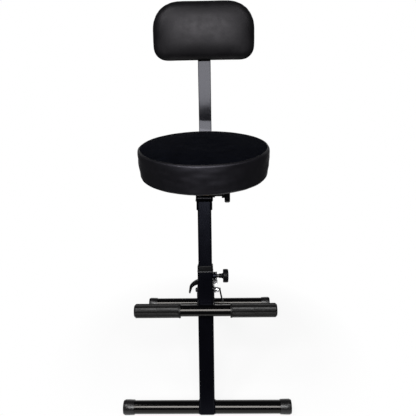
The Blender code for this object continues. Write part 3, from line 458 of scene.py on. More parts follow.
def plywood(name, p):
    v = veneerSet
    f = Finish(name)
    rings = f.noise(*v["rings"])
    pores = f.noise(*v["pores"])
    ringShare, poreShare = v["colourShares"]
    shade = f.plus(f.times(rings, ringShare), f.times(pores, poreShare))
    f.colour(f.colours(shade, p["dark"], p["light"]))
    f.roughness(f.spread(pores, *v["rough"]))
    f.relief(pores, *v["depth"])
    return f.material


finishes = {
    "black_powder_coat": blackPowderCoat("satinPowderCoat", powderSet),
    "round_tube": blackPowderCoat("glossPowderCoat", roundSet),
    "highlit_rim": scuffed("highlitRim", highlitRimSet),
    "black_gloss_steel": barPaint(),
    "zinc_plate": platedSteel("zincPlate", zincSet),
    "black_oxide": platedSteel("blackOxide", oxideSet),
    "black_plastic": mouldedPlastic(),
    "rubber": scuffed("capRubber", capSet),
    "grip_rubber": scuffed("gripRubber", gripSet),
    "velour": velourPile(),
    "vinyl": vinylSkin("padVinyl", vinylSet),
    "band_vinyl": vinylSkin("bandVinyl", bandSet),
    "plywood": plywood("plywood", woodSet),
    "stained": plywood("stainedPlywood", stainedSet),
}
print("finishes:", len(finishes))


# rigid solids keep their shape: welded and shaded by angle

solidSet = {
    "weld": 0.00002,
    "sharp": math.radians(34),
    "faceWeight": 100,
}
# solids whose look differs from the rest of their kind
dressed = {
    "front_foot_bar": "round_tube",
    "rear_foot_bar": "round_tube",
    "footrest_bar": "round_tube",
    "star_stud": "black_oxide",
    "star_weld_nut": "black_oxide",
    "back_board": "stained",
}


def smoothGroup():
    group = bpy.data.node_groups.new("shadeByAngle", "GeometryNodeTree")
    group.interface.new_socket("Geometry", in_out="INPUT", socket_type="NodeSocketGeometry")
    group.interface.new_socket("Geometry", in_out="OUTPUT", socket_type="NodeSocketGeometry")
    start = group.nodes.new("NodeGroupInput")
    end = group.nodes.new("NodeGroupOutput")
    faces = group.nodes.new("GeometryNodeSetShadeSmooth")
    edges = group.nodes.new("GeometryNodeSetShadeSmooth")
    edges.domain = "EDGE"
    angle = group.nodes.new("GeometryNodeInputMeshEdgeAngle")
    under = group.nodes.new("FunctionNodeCompare")
    under.operation = "LESS_THAN"
    under.inputs["B"].default_value = solidSet["sharp"]
    link = group.links.new
    link(start.outputs[0], faces.inputs["Geometry"])
    link(faces.outputs[0], edges.inputs["Geometry"])
    link(angle.outputs["Unsigned Angle"], under.inputs["A"])
    link(under.outputs["Result"], edges.inputs["Shade Smooth"])
    link(edges.outputs[0], end.inputs[0])
    return group


def dressSolids():
    shadeByAngle = smoothGroup()
    slotOf = {row["node"]: row["material_slot"] for row in frame["record"]["subparts"]}
    for name, solid in nodes.items():
        finish = dressed.get(name, slotOf[name])
        for slot in solid.material_slots:
            slot.material = finishes[finish]
        weld = solid.modifiers.new("weld", "WELD")
        weld.merge_threshold = solidSet["weld"]
        shade = solid.modifiers.new("shade", "NODES")
        shade.node_group = shadeByAngle
        flat = solid.modifiers.new("flat", "WEIGHTED_NORMAL")    # big faces stay flat up to their edges
        flat.keep_sharp = True
        flat.weight = solidSet["faceWeight"]
    print("solids dressed:", len(nodes))


# mesh helpers

def newPiece(name, mesh, body, finish):
    piece = bpy.data.objects.new(name, mesh)
    bpy.context.scene.collection.objects.link(piece)
    piece.data.materials.clear()
    piece.data.materials.append(finishes[finish])
    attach(piece, body)
    return piece


def meshOf(name, points, faces):
    mesh = bpy.data.meshes.new(name)
    mesh.from_pydata(points, [], faces)
    mesh.validate()
    bm = bmesh.new()
    bm.from_mesh(mesh)
    bmesh.ops.recalc_face_normals(bm, faces=bm.faces)
    bm.to_mesh(mesh)
    bm.free()
    mesh.shade_smooth()
    return mesh


def between(ring, nextRing, i, j, count):
    # the face from point i to point j of two rings of count points each
    return (ring * count + i, ring * count + j, nextRing * count + j, nextRing * count + i)


def ringFaces(rings, count):
    faces = []
    for ring in range(rings - 1):
        for i in range(count):
            faces.append(between(ring, ring + 1, i, (i + 1) % count, count))
    return faces


def tube(name, path, radius, closed, sides):
    points = []
    faces = []
    count = len(path)
    across = None
    for i, point in enumerate(path):
        before = path[i - 1] if closed or i else path[i]
        after = path[(i + 1) % count] if closed or i < count - 1 else path[i]
        along = (after - before).normalized()
        across = along.orthogonal() if across is None else across - along * across.dot(along)
        across.normalize()
        up = across.cross(along)
        thick = radius(i) if callable(radius) else radius
        for k in range(sides):
            turn = 2 * math.pi * k / sides
            points.append(point + (across * math.cos(turn) + up * math.sin(turn)) * thick)
    for i in range(count if closed else count - 1):
        for k in range(sides):
            faces.append(between(i, (i + 1) % count, k, (k + 1) % sides, sides))
    if not closed:
        faces.append(tuple(range(sides - 1, -1, -1)))
        faces.append(tuple(range((count - 1) * sides, count * sides)))
    return meshOf(name, points, faces)


def ripple(point, size, seed):
    return noise.noise(Vector(point) / size + Vector((seed, 2 * seed, -seed)))


def hullOf(points):
    points = sorted(set((round(x, 5), round(y, 5)) for x, y in points))

    def chain(ordered):
        kept = []
        for q in ordered:
            while len(kept) > 1:
                (ax, ay), (bx, by) = kept[-2], kept[-1]
                if (bx - ax) * (q[1] - ay) - (by - ay) * (q[0] - ax) > 1e-9:
                    break
                kept.pop()
            kept.append(q)
        return kept[:-1]

    return chain(points) + chain(points[::-1])


def roundedSquare(halfX, halfY, corner, steps=6):
    ring = []
    for sideX, sideY, start in ((1, 1, 0), (-1, 1, 90), (-1, -1, 180), (1, -1, 270)):
        for k in range(steps + 1):
            turn = math.radians(start + 90 * k / steps)
            ring.append((sideX * (halfX - corner) + corner * math.cos(turn),
                         sideY * (halfY - corner) + corner * math.sin(turn)))
    return ring


def evenly(outline, step):
    # points along the closed outline at about equal steps, each with its outward direction
    ring = outline + outline[:1]
    total = sum(math.dist(a, b) for a, b in zip(ring, ring[1:]))
    count = round(total / step)
    found = []
    done = 0.0
    for a, b in zip(ring, ring[1:]):
        span = math.dist(a, b)
        while len(found) < count and len(found) * total / count <= done + span:
            share = (len(found) * total / count - done) / span
            found.append((a[0] + (b[0] - a[0]) * share, a[1] + (b[1] - a[1]) * share))
        done += span
    placed = []
    for i, (x, y) in enumerate(found):
        (ax, ay), (bx, by) = found[i - 1], found[(i + 1) % len(found)]
        run = math.hypot(bx - ax, by - ay)
        placed.append((x, y, (by - ay) / run, (ax - bx) / run))
    return placed


stapleSet = {
    "long": 0.0095,
    "wide": 0.0011,
    "wire": 0.0005,
    "bite": 0.0009,
    "proud": 0.0004,
}


def staples(name, spots, body):
    # each spot: middle, direction along the crown, direction out of the cover
    s = stapleSet
    half, high, low, wire = s["long"] / 2, s["proud"], -s["bite"], s["wire"]
    outline = [(-half, low), (-half, high), (half, high), (half, low),
               (half - wire, low), (half - wire, high - wire),
               (wire - half, high - wire), (wire - half, low)]
    legsAndCrown = ((0, 1, 6, 7), (1, 2, 5, 6), (2, 3, 4, 5))
    corners = len(outline)
    points = []
    faces = []
    for middle, along, out in spots:
        side = along.cross(out).normalized() * s["wide"] / 2
        start = len(points)
        for edge in (-1, 1):
            points += [middle + along * x + out * z + side * edge for x, z in outline]
        for k in range(corners):
            m = (k + 1) % corners
            faces.append((start + k, start + m, start + corners + m, start + corners + k))
        for edge in (0, corners):
            for quad in legsAndCrown:
                faces.append(tuple(start + edge + k for k in quad))
    mesh = meshOf(name, points, faces)
    mesh.shade_flat()
    return newPiece(name, mesh, body, "zinc_plate")


def swell(piece, pinned, clothSet):
    # blown up with air as Cloth, each point held within its cap, then baked in
    start = [v.co.copy() for v in piece.data.vertices]
    group = piece.vertex_groups.new(name="held")
    group.add(pinned, 1.0, "REPLACE")
    cloth = piece.modifiers.new("cloth", "CLOTH")
    s = cloth.settings
    s.quality = clothSet["quality"]
    s.mass = clothSet["mass"]
    s.tension_stiffness = clothSet["stiff"]
    s.compression_stiffness = clothSet["stiff"]
    s.shear_stiffness = clothSet["stiff"] / 3
    s.bending_stiffness = clothSet["bend"]
    s.use_pressure = True
    s.uniform_pressure_force = clothSet["pressure"]
    s.effector_weights.gravity = 0
    s.vertex_group_mass = "held"
    cloth.collision_settings.use_self_collision = False
    scene = bpy.context.scene
    for step in range(1, clothSet["frames"] + 1):
        scene.frame_set(step)
    graph = bpy.context.evaluated_depsgraph_get()
    shaped = piece.evaluated_get(graph).to_mesh()
    moved = [v.co.copy() for v in shaped.vertices]
    piece.evaluated_get(graph).to_mesh_clear()
    piece.modifiers.remove(cloth)
    piece.vertex_groups.remove(group)
    scene.frame_set(1)
    for vertex, was, now in zip(piece.data.vertices, start, moved):
        step = now - was
        if step.length > clothSet["cap"]:
            step *= clothSet["cap"] / step.length
        vertex.co = was + step
    piece.data.update()


# floor, air and lamps

stageSet = {
    "floorRadius": 0.52,
    "floorSides": 96,
    "floorDrop": 0.0004,
    "floorWhite": 0.90,
    "floorRough": 0.9,
    "shadowShare": 0.14,
    "shadowEdge": (0.65, 0.97),
    "fill": 0.08,
    "frontDim": 0.06,
    "backdropEdge": (0.80, 0.95),
}
lampSet = {
    "low": {"place": (-0.05, -2.0, 1.435), "aim": (-0.05, 0.0, 0.75),
            "size": (1.15, 0.62), "watts": 27},
    "high": {"place": (-0.05, -1.805, 2.003), "aim": (-0.05, 0.195, 1.318),
             "size": (1.15, 0.58), "watts": 36},
    "left": {"place": (-0.95, -1.0, 2.3), "aim": (0.0, 0.05, 0.85),
             "size": (0.45, 0.9), "watts": 18},
    "right": {"place": (0.95, -1.0, 2.3), "aim": (0.0, 0.05, 0.85),
              "size": (0.45, 0.9), "watts": 8},
}


def eitherOf(tree, first, second):
    larger = tree.nodes.new("ShaderNodeMath")
    larger.operation = "MAXIMUM"
    tree.links.new(first, larger.inputs[0])
    tree.links.new(second, larger.inputs[1])
    return larger.outputs[0]


def makeFloor():
    s = stageSet
    mesh = bpy.data.meshes.new("studioFloor")
    bm = bmesh.new()
    bmesh.ops.create_circle(bm, cap_ends=True, segments=s["floorSides"], radius=s["floorRadius"])
    bm.to_mesh(mesh)
    bm.free()
    floor = bpy.data.objects.new("studioFloor", mesh)
    floor.location.z = -s["floorDrop"]
    bpy.context.scene.collection.objects.link(floor)
    paint = bpy.data.materials.new("palePaper")
    paint.use_nodes = True
    tree = paint.node_tree
    link = tree.links.new
    shader = tree.nodes["Principled BSDF"]
    shader.inputs["Base Color"].default_value = (s["floorWhite"],) * 3 + (1,)
    shader.inputs["Roughness"].default_value = s["floorRough"]
    shader.inputs["Specular IOR Level"].default_value = 0.0
    # the shadow shows round the feet and fades out before the floor's edge
    place = tree.nodes.new("ShaderNodeTexCoord")
    reach = tree.nodes.new("ShaderNodeVectorMath")
    reach.operation = "LENGTH"
    fade = tree.nodes.new("ShaderNodeMapRange")
    fade.inputs["From Min"].default_value = s["floorRadius"] * s["shadowEdge"][0]
    fade.inputs["From Max"].default_value = s["floorRadius"] * s["shadowEdge"][1]
    fade.inputs["To Min"].default_value = 1 - s["shadowShare"]
    fade.inputs["To Max"].default_value = 1.0
    link(place.outputs["Object"], reach.inputs[0])
    link(reach.outputs["Value"], fade.inputs["Value"])
    path = tree.nodes.new("ShaderNodeLightPath")
    seen = eitherOf(tree, path.outputs["Is Camera Ray"], path.outputs["Is Glossy Ray"])
    seen = eitherOf(tree, seen, path.outputs["Is Transmission Ray"])
    share = tree.nodes.new("ShaderNodeMath")
    share.operation = "MULTIPLY"
    link(seen, share.inputs[0])
    link(fade.outputs["Result"], share.inputs[1])
    glow = tree.nodes.new("ShaderNodeEmission")
    mix = tree.nodes.new("ShaderNodeMixShader")
    link(share.outputs[0], mix.inputs[0])
    link(shader.outputs[0], mix.inputs[1])
    link(glow.outputs[0], mix.inputs[2])
    link(mix.outputs[0], tree.nodes["Material Output"].inputs["Surface"])
    floor.data.materials.append(paint)


def makeAir():
    # white behind the chair, dim behind the camera for what shines, even fill for the rest
    s = stageSet
    air = bpy.data.worlds.new("studioAir")
    air.use_nodes = True
    bpy.context.scene.world = air
    tree = air.node_tree
    link = tree.links.new
    sky = tree.nodes["Background"]
    sky.inputs["Color"].default_value = (1, 1, 1, 1)
    path = tree.nodes.new("ShaderNodeLightPath")
    where = tree.nodes.new("ShaderNodeTexCoord")
    parts = tree.nodes.new("ShaderNodeSeparateXYZ")
    link(where.outputs["Generated"], parts.inputs[0])
    behind = tree.nodes.new("ShaderNodeMapRange")
    behind.inputs["From Min"].default_value = s["backdropEdge"][0]
    behind.inputs["From Max"].default_value = s["backdropEdge"][1]
    behind.inputs["To Min"].default_value = s["frontDim"]
    behind.inputs["To Max"].default_value = 1.0
    link(parts.outputs["Y"], behind.inputs["Value"])
    shiny = tree.nodes.new("ShaderNodeMix")
    link(path.outputs["Is Glossy Ray"], shiny.inputs["Factor"])
    shiny.inputs["A"].default_value = s["fill"]
    link(behind.outputs["Result"], shiny.inputs["B"])
    strength = tree.nodes.new("ShaderNodeMix")
    seen = eitherOf(tree, path.outputs["Is Camera Ray"], path.outputs["Is Transmission Ray"])
    link(seen, strength.inputs["Factor"])
    link(shiny.outputs["Result"], strength.inputs["A"])
    strength.inputs["B"].default_value = 1.0
    link(strength.outputs["Result"], sky.inputs["Strength"])


def makeLamps():
    for name, lamp in lampSet.items():
        light = bpy.data.lights.new(name + "Softbox", "AREA")
        light.shape = "RECTANGLE"
        light.size, light.size_y = lamp["size"]
        light.energy = lamp["watts"]
        holder = bpy.data.objects.new(name + "Softbox", light)
        holder.location = lamp["place"]
        aim = Vector(lamp["aim"]) - Vector(lamp["place"])
        holder.rotation_euler = aim.to_track_quat("-Z", "Y").to_euler()
        bpy.context.scene.collection.objects.link(holder)
    bpy.context.scene.view_settings.view_transform = "Standard"
    print("stage: floor, air and", len(lampSet), "lamps")


# round seat: velour top and vinyl side, swollen together and parted at the seam

bandLow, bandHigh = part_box("seat_band")
seatSet = {
    "centre": ((bandLow.x + bandHigh.x) / 2, (bandLow.y + bandHigh.y) / 2),
    "underside": 0.6072,
    "lowRound": 0.008,
    "lowRows": 4,
    "hemInner": 0.1390,
    "hemFlat": 0.004,
    "bottomRadius": 0.1632,
    "sideRadius": 0.1668,
    "edgeTop": 0.6808,
    "edgeRound": 0.0045,
    "crown": 0.0085,
    "spokes": 144,
    "sideRows": 18,
    "edgeRows": 4,
    "topRows": 16,
    "hub": 0.010,
    "heldRows": 3,
    "cloth": {"quality": 6, "mass": 0.25, "stiff": 14.0, "bend": 1.2, "pressure": 4.0,
              "frames": 20, "cap": 0.0020},
    "pucker": 0.0014,
    "fold": {"round": 0.22, "rise": 4.5, "size": 0.055, "seed": 3.1},
    "pull": {"round": 4.2, "size": 0.5, "seed": 7.7, "share": 0.8},
    "dimple": {"deep": 0.0006, "size": 0.05, "seed": 1.3},
    "thick": 0.0016,
    "welt": 0.0013,
    "weltDrop": 0.0004,
    "weltSides": 8,
    "staples": 40,
    "stapleRadius": 0.1480,
    "askew": {"share": 0.25, "size": 1.7, "seeds": (0.4, 2.2)},
}


def seatProfile():
    p = seatSet
    rows = [(p["hemInner"], p["underside"]),
            (p["bottomRadius"] - p["lowRound"] - p["hemFlat"], p["underside"])]
    for i in range(p["lowRows"]):
        turn = math.pi / 2 * i / p["lowRows"]
        rows.append((p["bottomRadius"] - p["lowRound"] * (1 - math.sin(turn)),
                     p["underside"] + p["lowRound"] * (1 - math.cos(turn))))
    low = p["underside"] + p["lowRound"]
    high = p["edgeTop"] - p["edgeRound"]
    flare = p["sideRadius"] - p["bottomRadius"]
    for i in range(p["sideRows"] + 1):
        share = i / p["sideRows"]
        rows.append((p["bottomRadius"] + flare * math.sin(share * math.pi / 2),
                     low + (high - low) * share))
    for i in range(1, p["edgeRows"] + 1):
        turn = math.pi / 2 * i / p["edgeRows"]
        rows.append((p["sideRadius"] - p["edgeRound"] * (1 - math.cos(turn)),
                     high + p["edgeRound"] * math.sin(turn)))
    seam = len(rows) - 1
    rim = rows[-1][0]
    for i in range(1, p["topRows"] + 1):
        radius = rim + (p["hub"] - rim) * i / p["topRows"]
        rows.append((radius, p["edgeTop"] + p["crown"] * (1 - (radius / rim) ** 2)))
    return rows, seam


def swollenDrum(rows, seam):
    p = seatSet
    count = p["spokes"]
    centreX, centreY = p["centre"]
    points = []
    for radius, height in rows:
        for i in range(count):
            turn = 2 * math.pi * i / count
            points.append((centreX + radius * math.cos(turn), centreY + radius * math.sin(turn), height))
    faces = ringFaces(len(rows), count)
    faces.append(tuple(range(count - 1, -1, -1)))
    last = (len(rows) - 1) * count
    faces.append(tuple(range(last, last + count)))
    drum = bpy.data.objects.new("seatDrum", meshOf("seatDrum", points, faces))
    bpy.context.scene.collection.objects.link(drum)
    held = list(range(p["heldRows"] * count)) + list(range(seam * count, (seam + 1) * count))
    swell(drum, held, p["cloth"])
    shaped = [v.co.copy() for v in drum.data.vertices]
    bpy.data.objects.remove(drum)
    return shaped


def makeSeat():
    p = seatSet
    rows, seam = seatProfile()
    count = p["spokes"]
    shaped = swollenDrum(rows, seam)
    middle = Vector((*p["centre"], 0))
    fold, pull, dimple = p["fold"], p["pull"], p["dimple"]
    lastHeld = p["heldRows"] - 1
    for index, point in enumerate(shaped):
        row = index // count
        outward = point - middle
        outward.z = 0
        outward.normalize()
        if lastHeld < row <= seam:    # faint level folds in the side, pulled tight by the staples below
            turn = math.atan2(outward.y, outward.x)
            spot = (math.cos(turn) * fold["round"], math.sin(turn) * fold["round"], point.z * fold["rise"])
            folded = ripple(spot, fold["size"], fold["seed"])
            pulled = ripple((turn * pull["round"], 0, 0), pull["size"], pull["seed"])
            pulled *= (1 - (row - lastHeld) / (seam - lastHeld)) ** 2
            point += outward * p["pucker"] * (folded + pull["share"] * pulled)
        elif row > seam:
            point.z += dimple["deep"] * ripple(point, dimple["size"], dimple["seed"])

    def part(name, firstRow, lastRow, capped, finish):
        sheet = ringFaces(lastRow - firstRow + 1, count)
        if capped:
            start = (lastRow - firstRow) * count
            sheet.append(tuple(range(start, start + count)))
        mesh = meshOf(name, shaped[firstRow * count:(lastRow + 1) * count], sheet)
        piece = newPiece(name, mesh, "seat_carrier", finish)
        thick = piece.modifiers.new("thick", "SOLIDIFY")
        thick.thickness = p["thick"]
        thick.offset = -1
        fine = piece.modifiers.new("fine", "SUBSURF")
        fine.levels = fine.render_levels = 1
        return piece

    side = part("seatSide", 0, seam, False, "band_vinyl")
    top = part("seatTop", seam, len(rows) - 1, True, "velour")
    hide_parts("seat_band")
    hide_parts("seat_cushion")

    rim = shaped[seam * count:(seam + 1) * count]
    ringPoints = [point + Vector((0, 0, -p["weltDrop"])) for point in rim]
    welt = tube("seatWelt", ringPoints, p["welt"], True, p["weltSides"])
    newPiece("seatWelt", welt, "seat_carrier", "vinyl")

    askew = p["askew"]
    spots = []
    for i in range(p["staples"]):
        aside = askew["share"] * ripple((i, 0, 0), askew["size"], askew["seeds"][0])
        turn = 2 * math.pi * (i + aside) / p["staples"]
        out = Vector((math.cos(turn), math.sin(turn), 0))
        spot = middle + out * p["stapleRadius"]
        spot.z = p["underside"]
        lie = turn + math.pi / 2 + askew["share"] * ripple((0, i, 0), askew["size"], askew["seeds"][1])
        spots.append((spot, Vector((math.cos(lie), math.sin(lie), 0)), Vector((0, 0, -1))))
    staples("seatStaples", spots, "seat_carrier")
    print("seat: side, top, welt and staples")


# backrest pad

padSet = {
    "voxel": 0.005,
    "shrink": 0.0025,
    "thick": 0.034,
    "lean": math.radians(10.0),
    "heldDepth": 0.0045,
    "cloth": {"quality": 6, "mass": 0.25, "stiff": 12.0, "bend": 1.0, "pressure": 4.0,
              "frames": 20, "cap": 0.005},
    "pucker": {"deep": 0.0002, "size": 0.06, "seed": 5.0},
    "rimDepth": 0.012,
    "lift": 0.0015,
    "dome": 0.43,
    "edgeBlend": 0.3,
    "grid": 0.003,
    "turns": 3000,
    "relax": 14,
    "relaxFactor": 0.5,
    "relaxFrom": 0.010,
    "relaxOver": 0.012,
    "relaxLeast": 0.08,
}


def padAxes():
    lean = padSet["lean"]
    facing = Vector((0, -math.cos(lean), math.sin(lean)))
    upward = Vector((0, math.sin(lean), math.cos(lean)))
    return facing, upward


def skinOver(outline, step, turns):
    # height of an even skin blown up inside the outline: 0 at its edge, 1 at its highest
    across = [x for x, y in outline]
    upright = [y for x, y in outline]
    gridX = np.arange(min(across) - step, max(across) + 2 * step, step)
    gridY = np.arange(min(upright) - step, max(upright) + 2 * step, step)
    x, y = np.meshgrid(gridX, gridY, indexing="ij")
    inside = np.ones(x.shape, bool)
    for (ax, ay), (bx, by) in zip(outline, outline[1:] + outline[:1]):
        inside &= (bx - ax) * (y - ay) > (by - ay) * (x - ax)
    height = np.zeros(x.shape)
    for turn in range(turns):
        near = np.roll(height, 1, 0) + np.roll(height, -1, 0)
        near = near + np.roll(height, 1, 1) + np.roll(height, -1, 1)
        height = np.where(inside, near / 4 + 1, 0)
    height /= height.max()

    def at(aside, rise):
        i, j = (aside - gridX[0]) / step, (rise - gridY[0]) / step
        i, j = min(max(i, 0), len(gridX) - 2), min(max(j, 0), len(gridY) - 2)
        a, b = int(i), int(j)
        i, j = i - a, j - b
        return (height[a, b] * (1 - i) + height[a + 1, b] * i) * (1 - j) + \
            (height[a, b + 1] * (1 - i) + height[a + 1, b + 1] * i) * j

    return at


def makePad():
    p = padSet
    source = nodes["back_pad"]
    bm = bmesh.new()
    bm.from_mesh(source.data)
    bmesh.ops.remove_doubles(bm, verts=bm.verts, dist=solidSet["weld"])
    bmesh.ops.recalc_face_normals(bm, faces=bm.faces)
    low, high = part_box("back_pad")
    middle = (low + high) / 2
    facing, upward = padAxes()
    halfWide = (high.x - low.x) / 2
    halfTall = max((v.co - middle).dot(upward) for v in bm.verts)
    backmost = min((v.co - middle).dot(facing) for v in bm.verts)
    for vertex in bm.verts:
        offset = vertex.co - middle
        aside, rise, depth = offset.x, offset.dot(upward), offset.dot(facing)
        aside *= 1 - p["shrink"] / halfWide
        rise *= 1 - p["shrink"] / halfTall
        depth = backmost + (depth - backmost) * (1 - p["shrink"] / p["thick"])
        vertex.co = middle + Vector((aside, 0, 0)) + upward * rise + facing * depth
    mesh = bpy.data.meshes.new("backPadCover")
    bm.to_mesh(mesh)
    bm.free()
    pad = newPiece("backPadCover", mesh, "back_carrier", "vinyl")
    remesh = pad.modifiers.new("remesh", "REMESH")
    remesh.mode = "VOXEL"
    remesh.voxel_size = p["voxel"]
    graph = bpy.context.evaluated_depsgraph_get()
    even = bpy.data.meshes.new_from_object(pad.evaluated_get(graph))
    pad.modifiers.clear()
    pad.data = even
    pad.data.materials.clear()
    pad.data.materials.append(finishes["vinyl"])
    heldTo = backmost + p["heldDepth"]
    held = [v.index for v in pad.data.vertices if (v.co - middle).dot(facing) < heldTo]
    swell(pad, held, p["cloth"])
    # the filling rounds the front into an even pillow, flat nowhere
    rim = backmost + p["rimDepth"]
    top = max((v.co - middle).dot(facing) for v in pad.data.vertices) + p["lift"]
    outline = hullOf([(v.co.x - middle.x, (v.co - middle).dot(upward)) for v in pad.data.vertices])
    skin = skinOver(outline, p["grid"], p["turns"])
    pucker = p["pucker"]
    for vertex in pad.data.vertices:
        offset = vertex.co - middle
        depth = offset.dot(facing)
        if depth < rim:
            continue
        height = skin(offset.x, offset.dot(upward))
        share = min(1.0, height / p["edgeBlend"])
        share *= share * (3 - 2 * share)
        pillow = rim + (top - rim) * height ** p["dome"]
        uneven = pucker["deep"] * ripple(vertex.co, pucker["size"], pucker["seed"])
        vertex.co += facing * ((pillow - depth) * share + uneven)
    pad.data.shade_smooth()
    crown = pad.vertex_groups.new(name="crown")
    for vertex in pad.data.vertices:
        depth = (vertex.co - middle).dot(facing) - backmost
        share = (depth - p["relaxFrom"]) / p["relaxOver"]
        crown.add([vertex.index], min(1.0, max(p["relaxLeast"], share)), "REPLACE")
    relax = pad.modifiers.new("relax", "SMOOTH")
    relax.factor = p["relaxFactor"]
    relax.iterations = p["relax"]
    relax.vertex_group = "crown"
    fine = pad.modifiers.new("fine", "SUBSURF")
    fine.levels = fine.render_levels = 1
    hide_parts("back_pad")
    print("backrest pad:", len(pad.data.vertices), "points")


# cover turned over the backrest's board and stapled to its back

coverSet = {
    "grown": 0.008,
    "side": (0.0022, 0.0012),
    "edge": 0.0004,
    "proud": 0.0009,
    "turnOver": 0.019,
    "lip": (0.0006, 0.0002),
    "step": 0.006,
    "uneven": {"deep": 0.0012, "size": 2.3, "seed": 4.4},
    "thick": 0.0006,
    "barHalf": 0.0215,
    "barClear": 0.008,
    "stapleInset": 0.011,
    "staplePitch": 0.024,
}


def makeBackCover():
    c = coverSet
    facing, upward = padAxes()
    board = nodes["back_board"].data.vertices
    low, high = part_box("back_board")
    middle = (low + high) / 2
    depths = [(v.co - middle).dot(facing) for v in board]
    front, back = max(depths), min(depths)
    outline = hullOf([(v.co.x, (v.co - middle).dot(upward)) for v in board])

    def place(spot, grown, depth):
        x, rise, outX, outRise = spot
        return middle + Vector((x + outX * grown, 0, 0)) + upward * (rise + outRise * grown) + facing * depth

    outer = back - c["proud"]
    rings = [(c["grown"], front),
             (c["side"][0], back + c["side"][1]),
             (c["edge"], outer),
             (-c["turnOver"], outer),
             (-c["lip"][0] - c["turnOver"], back - c["lip"][1])]
    around = evenly(outline, c["step"])
    count = len(around)
    uneven = c["uneven"]
    points = []
    for grown, depth in rings:
        for i, spot in enumerate(around):
            cut = uneven["deep"] * ripple((i, 0, 0), uneven["size"], uneven["seed"]) if grown < 0 else 0.0
            points.append(place(spot, grown + cut, depth))
    faces = []
    for k in range(len(rings) - 1):
        for i in range(count):
            j = (i + 1) % count
            underBar = around[i][1] < 0 and min(abs(around[i][0]), abs(around[j][0])) < c["barHalf"]
            if k == 0 or not underBar:
                faces.append(between(k, k + 1, i, j, count))
    cover = newPiece("backCover", meshOf("backCover", points, faces), "back_carrier", "vinyl")
    thick = cover.modifiers.new("thick", "SOLIDIFY")
    thick.thickness = c["thick"]
    thick.offset = -1
    spots = []
    for spot in evenly(outline, c["staplePitch"]):
        if spot[1] < 0 and abs(spot[0]) < c["barHalf"] + c["barClear"]:
            continue
        along = Vector((-spot[3], 0, 0)) + upward * spot[2]
        spots.append((place(spot, -c["stapleInset"], outer), along, -facing))
    staples("backStaples", spots, "back_carrier")
    print("backrest cover:", len(spots), "staples")


# weld beads, the leg's rim with its painted highlight and screw threads

beadSet = {
    "thick": 0.0014,
    "ripple": 0.00022,
    "pitch": 0.0016,
    "step": 0.0004,
    "sides": 8,
}
beads = {
    "footWeld": {"body": "front_frame", "axis": "front_foot_bar",
                 "radius": 0.0180, "side": 0.0206, "arc": (-25, 205)},
    "rearWeld": {"body": "rear_leg", "axis": "rear_foot_bar",
                 "radius": 0.0180, "side": 0.0181, "arc": (62, 222)},
    "restWeld": {"body": "front_frame", "axis": "footrest_bar",
                 "radius": 0.0155, "side": 0.0176, "arc": (-92, 50)},
}
socketSet = {
    "top": 0.5510,
    "round": 0.004,
    "rise": 0.9530,
    "clear": 0.0005,
}


def weld(name, path, body, closed=False):
    b = beadSet
    waves = 2 * math.pi * math.dist(path[0], path[1]) / b["pitch"]
    shape = tube(name, path, lambda i: b["thick"] + b["ripple"] * math.sin(i * waves), closed, b["sides"])
    newPiece(name, shape, body, "black_powder_coat")


def makeWelds():
    for name, bead in beads.items():
        low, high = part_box(bead["axis"])
        middle = (low + high) / 2
        first, last = (math.radians(angle) for angle in bead["arc"])
        count = round((last - first) * bead["radius"] / beadSet["step"])
        for hand, side in (("Left", -1), ("Right", 1)):
            path = []
            for i in range(count + 1):
                turn = first + (last - first) * i / count
                path.append(Vector((side * bead["side"], middle.y + bead["radius"] * math.cos(turn),
                                    middle.z + bead["radius"] * math.sin(turn))))
            weld(name + hand, path, bead["body"])
    s = socketSet
    low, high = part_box("post_socket")
    halfDeep = high.x / s["rise"]    # the leaning socket is deeper where it is cut level
    middle = Vector((0, high.y - halfDeep, s["top"]))
    ring = roundedSquare(high.x + s["clear"], halfDeep + s["clear"], s["round"])
    path = [middle + Vector((x, y, 0)) for x, y, *_ in evenly(ring, beadSet["step"])]
    weld("socketWeld", path, "seat_carrier", True)
    print("welds:", 2 * len(beads) + 1)


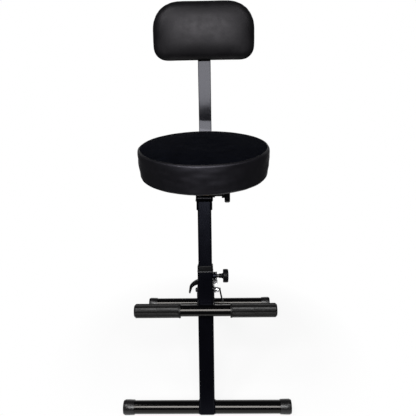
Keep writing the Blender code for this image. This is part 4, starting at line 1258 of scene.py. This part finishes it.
rimSet = {
    "foot": (0.0, -0.249, 0.019),
    "along": (0.0, 0.302869, 0.953032),
    "at": 0.3696,
    "half": 0.0197,
    "round": 0.0045,
    "step": 0.0012,
    "thick": 0.0010,
    "sides": 8,
}


def makeRim():
    r = rimSet
    along = Vector(r["along"])
    middle = Vector(r["foot"]) + along * r["at"]
    aside = Vector((1, 0, 0))
    back = along.cross(aside)
    ring = evenly(roundedSquare(r["half"], r["half"], r["round"]), r["step"])
    path = [middle + aside * x + back * y for x, y, *_ in ring]
    mesh = tube("legRim", path, r["thick"], True, r["sides"])
    # a thin ring on the leg's top edge, coloured much lighter than the coat: a painted highlight line
    newPiece("legRim", mesh, "front_frame", "highlit_rim")
    print("leg's rim:", len(path), "points")


threadSet = {
    "perTurn": 14,
    "ridge": 0.3,
    "runOut": 8,
    "runOutLow": 0.2,
    "sides": 5,
}
threads = {
    "starThread": {"body": "back_knob", "axis": "star_stud", "from": 0.0282, "to": 0.0446,
                   "pitch": 0.00125, "finish": "black_oxide"},
    "clampThread": {"body": "front_frame", "axis": "clamp_skewer", "from": -0.0057, "to": 0.0057,
                    "pitch": 0.0010, "finish": "zinc_plate"},
}


def makeThreads():
    t = threadSet
    for name, screw in threads.items():
        low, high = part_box(screw["axis"])
        middle = (low + high) / 2
        radius = (high.z - low.z) / 2
        turns = (screw["to"] - screw["from"]) / screw["pitch"]
        count = round(turns * t["perTurn"])
        path = []
        for i in range(count + 1):
            turn = 2 * math.pi * turns * i / count
            path.append(Vector((screw["from"] + (screw["to"] - screw["from"]) * i / count,
                                middle.y + radius * math.cos(turn), middle.z + radius * math.sin(turn))))
        ridge = screw["pitch"] * t["ridge"]

        def thick(i):
            nearest = min(i, count - i)    # the ridge runs out at both ends
            return ridge * min(1, t["runOutLow"] + nearest / t["runOut"])

        mesh = tube(name, path, thick, False, t["sides"])
        newPiece(name, mesh, screw["body"], screw["finish"])
    print("threads:", len(threads))


makeCamera()
dressSolids()
makeSeat()
makePad()
makeBackCover()
makeWelds()
makeRim()
makeThreads()
makeFloor()
makeAir()
makeLamps()

print("done")
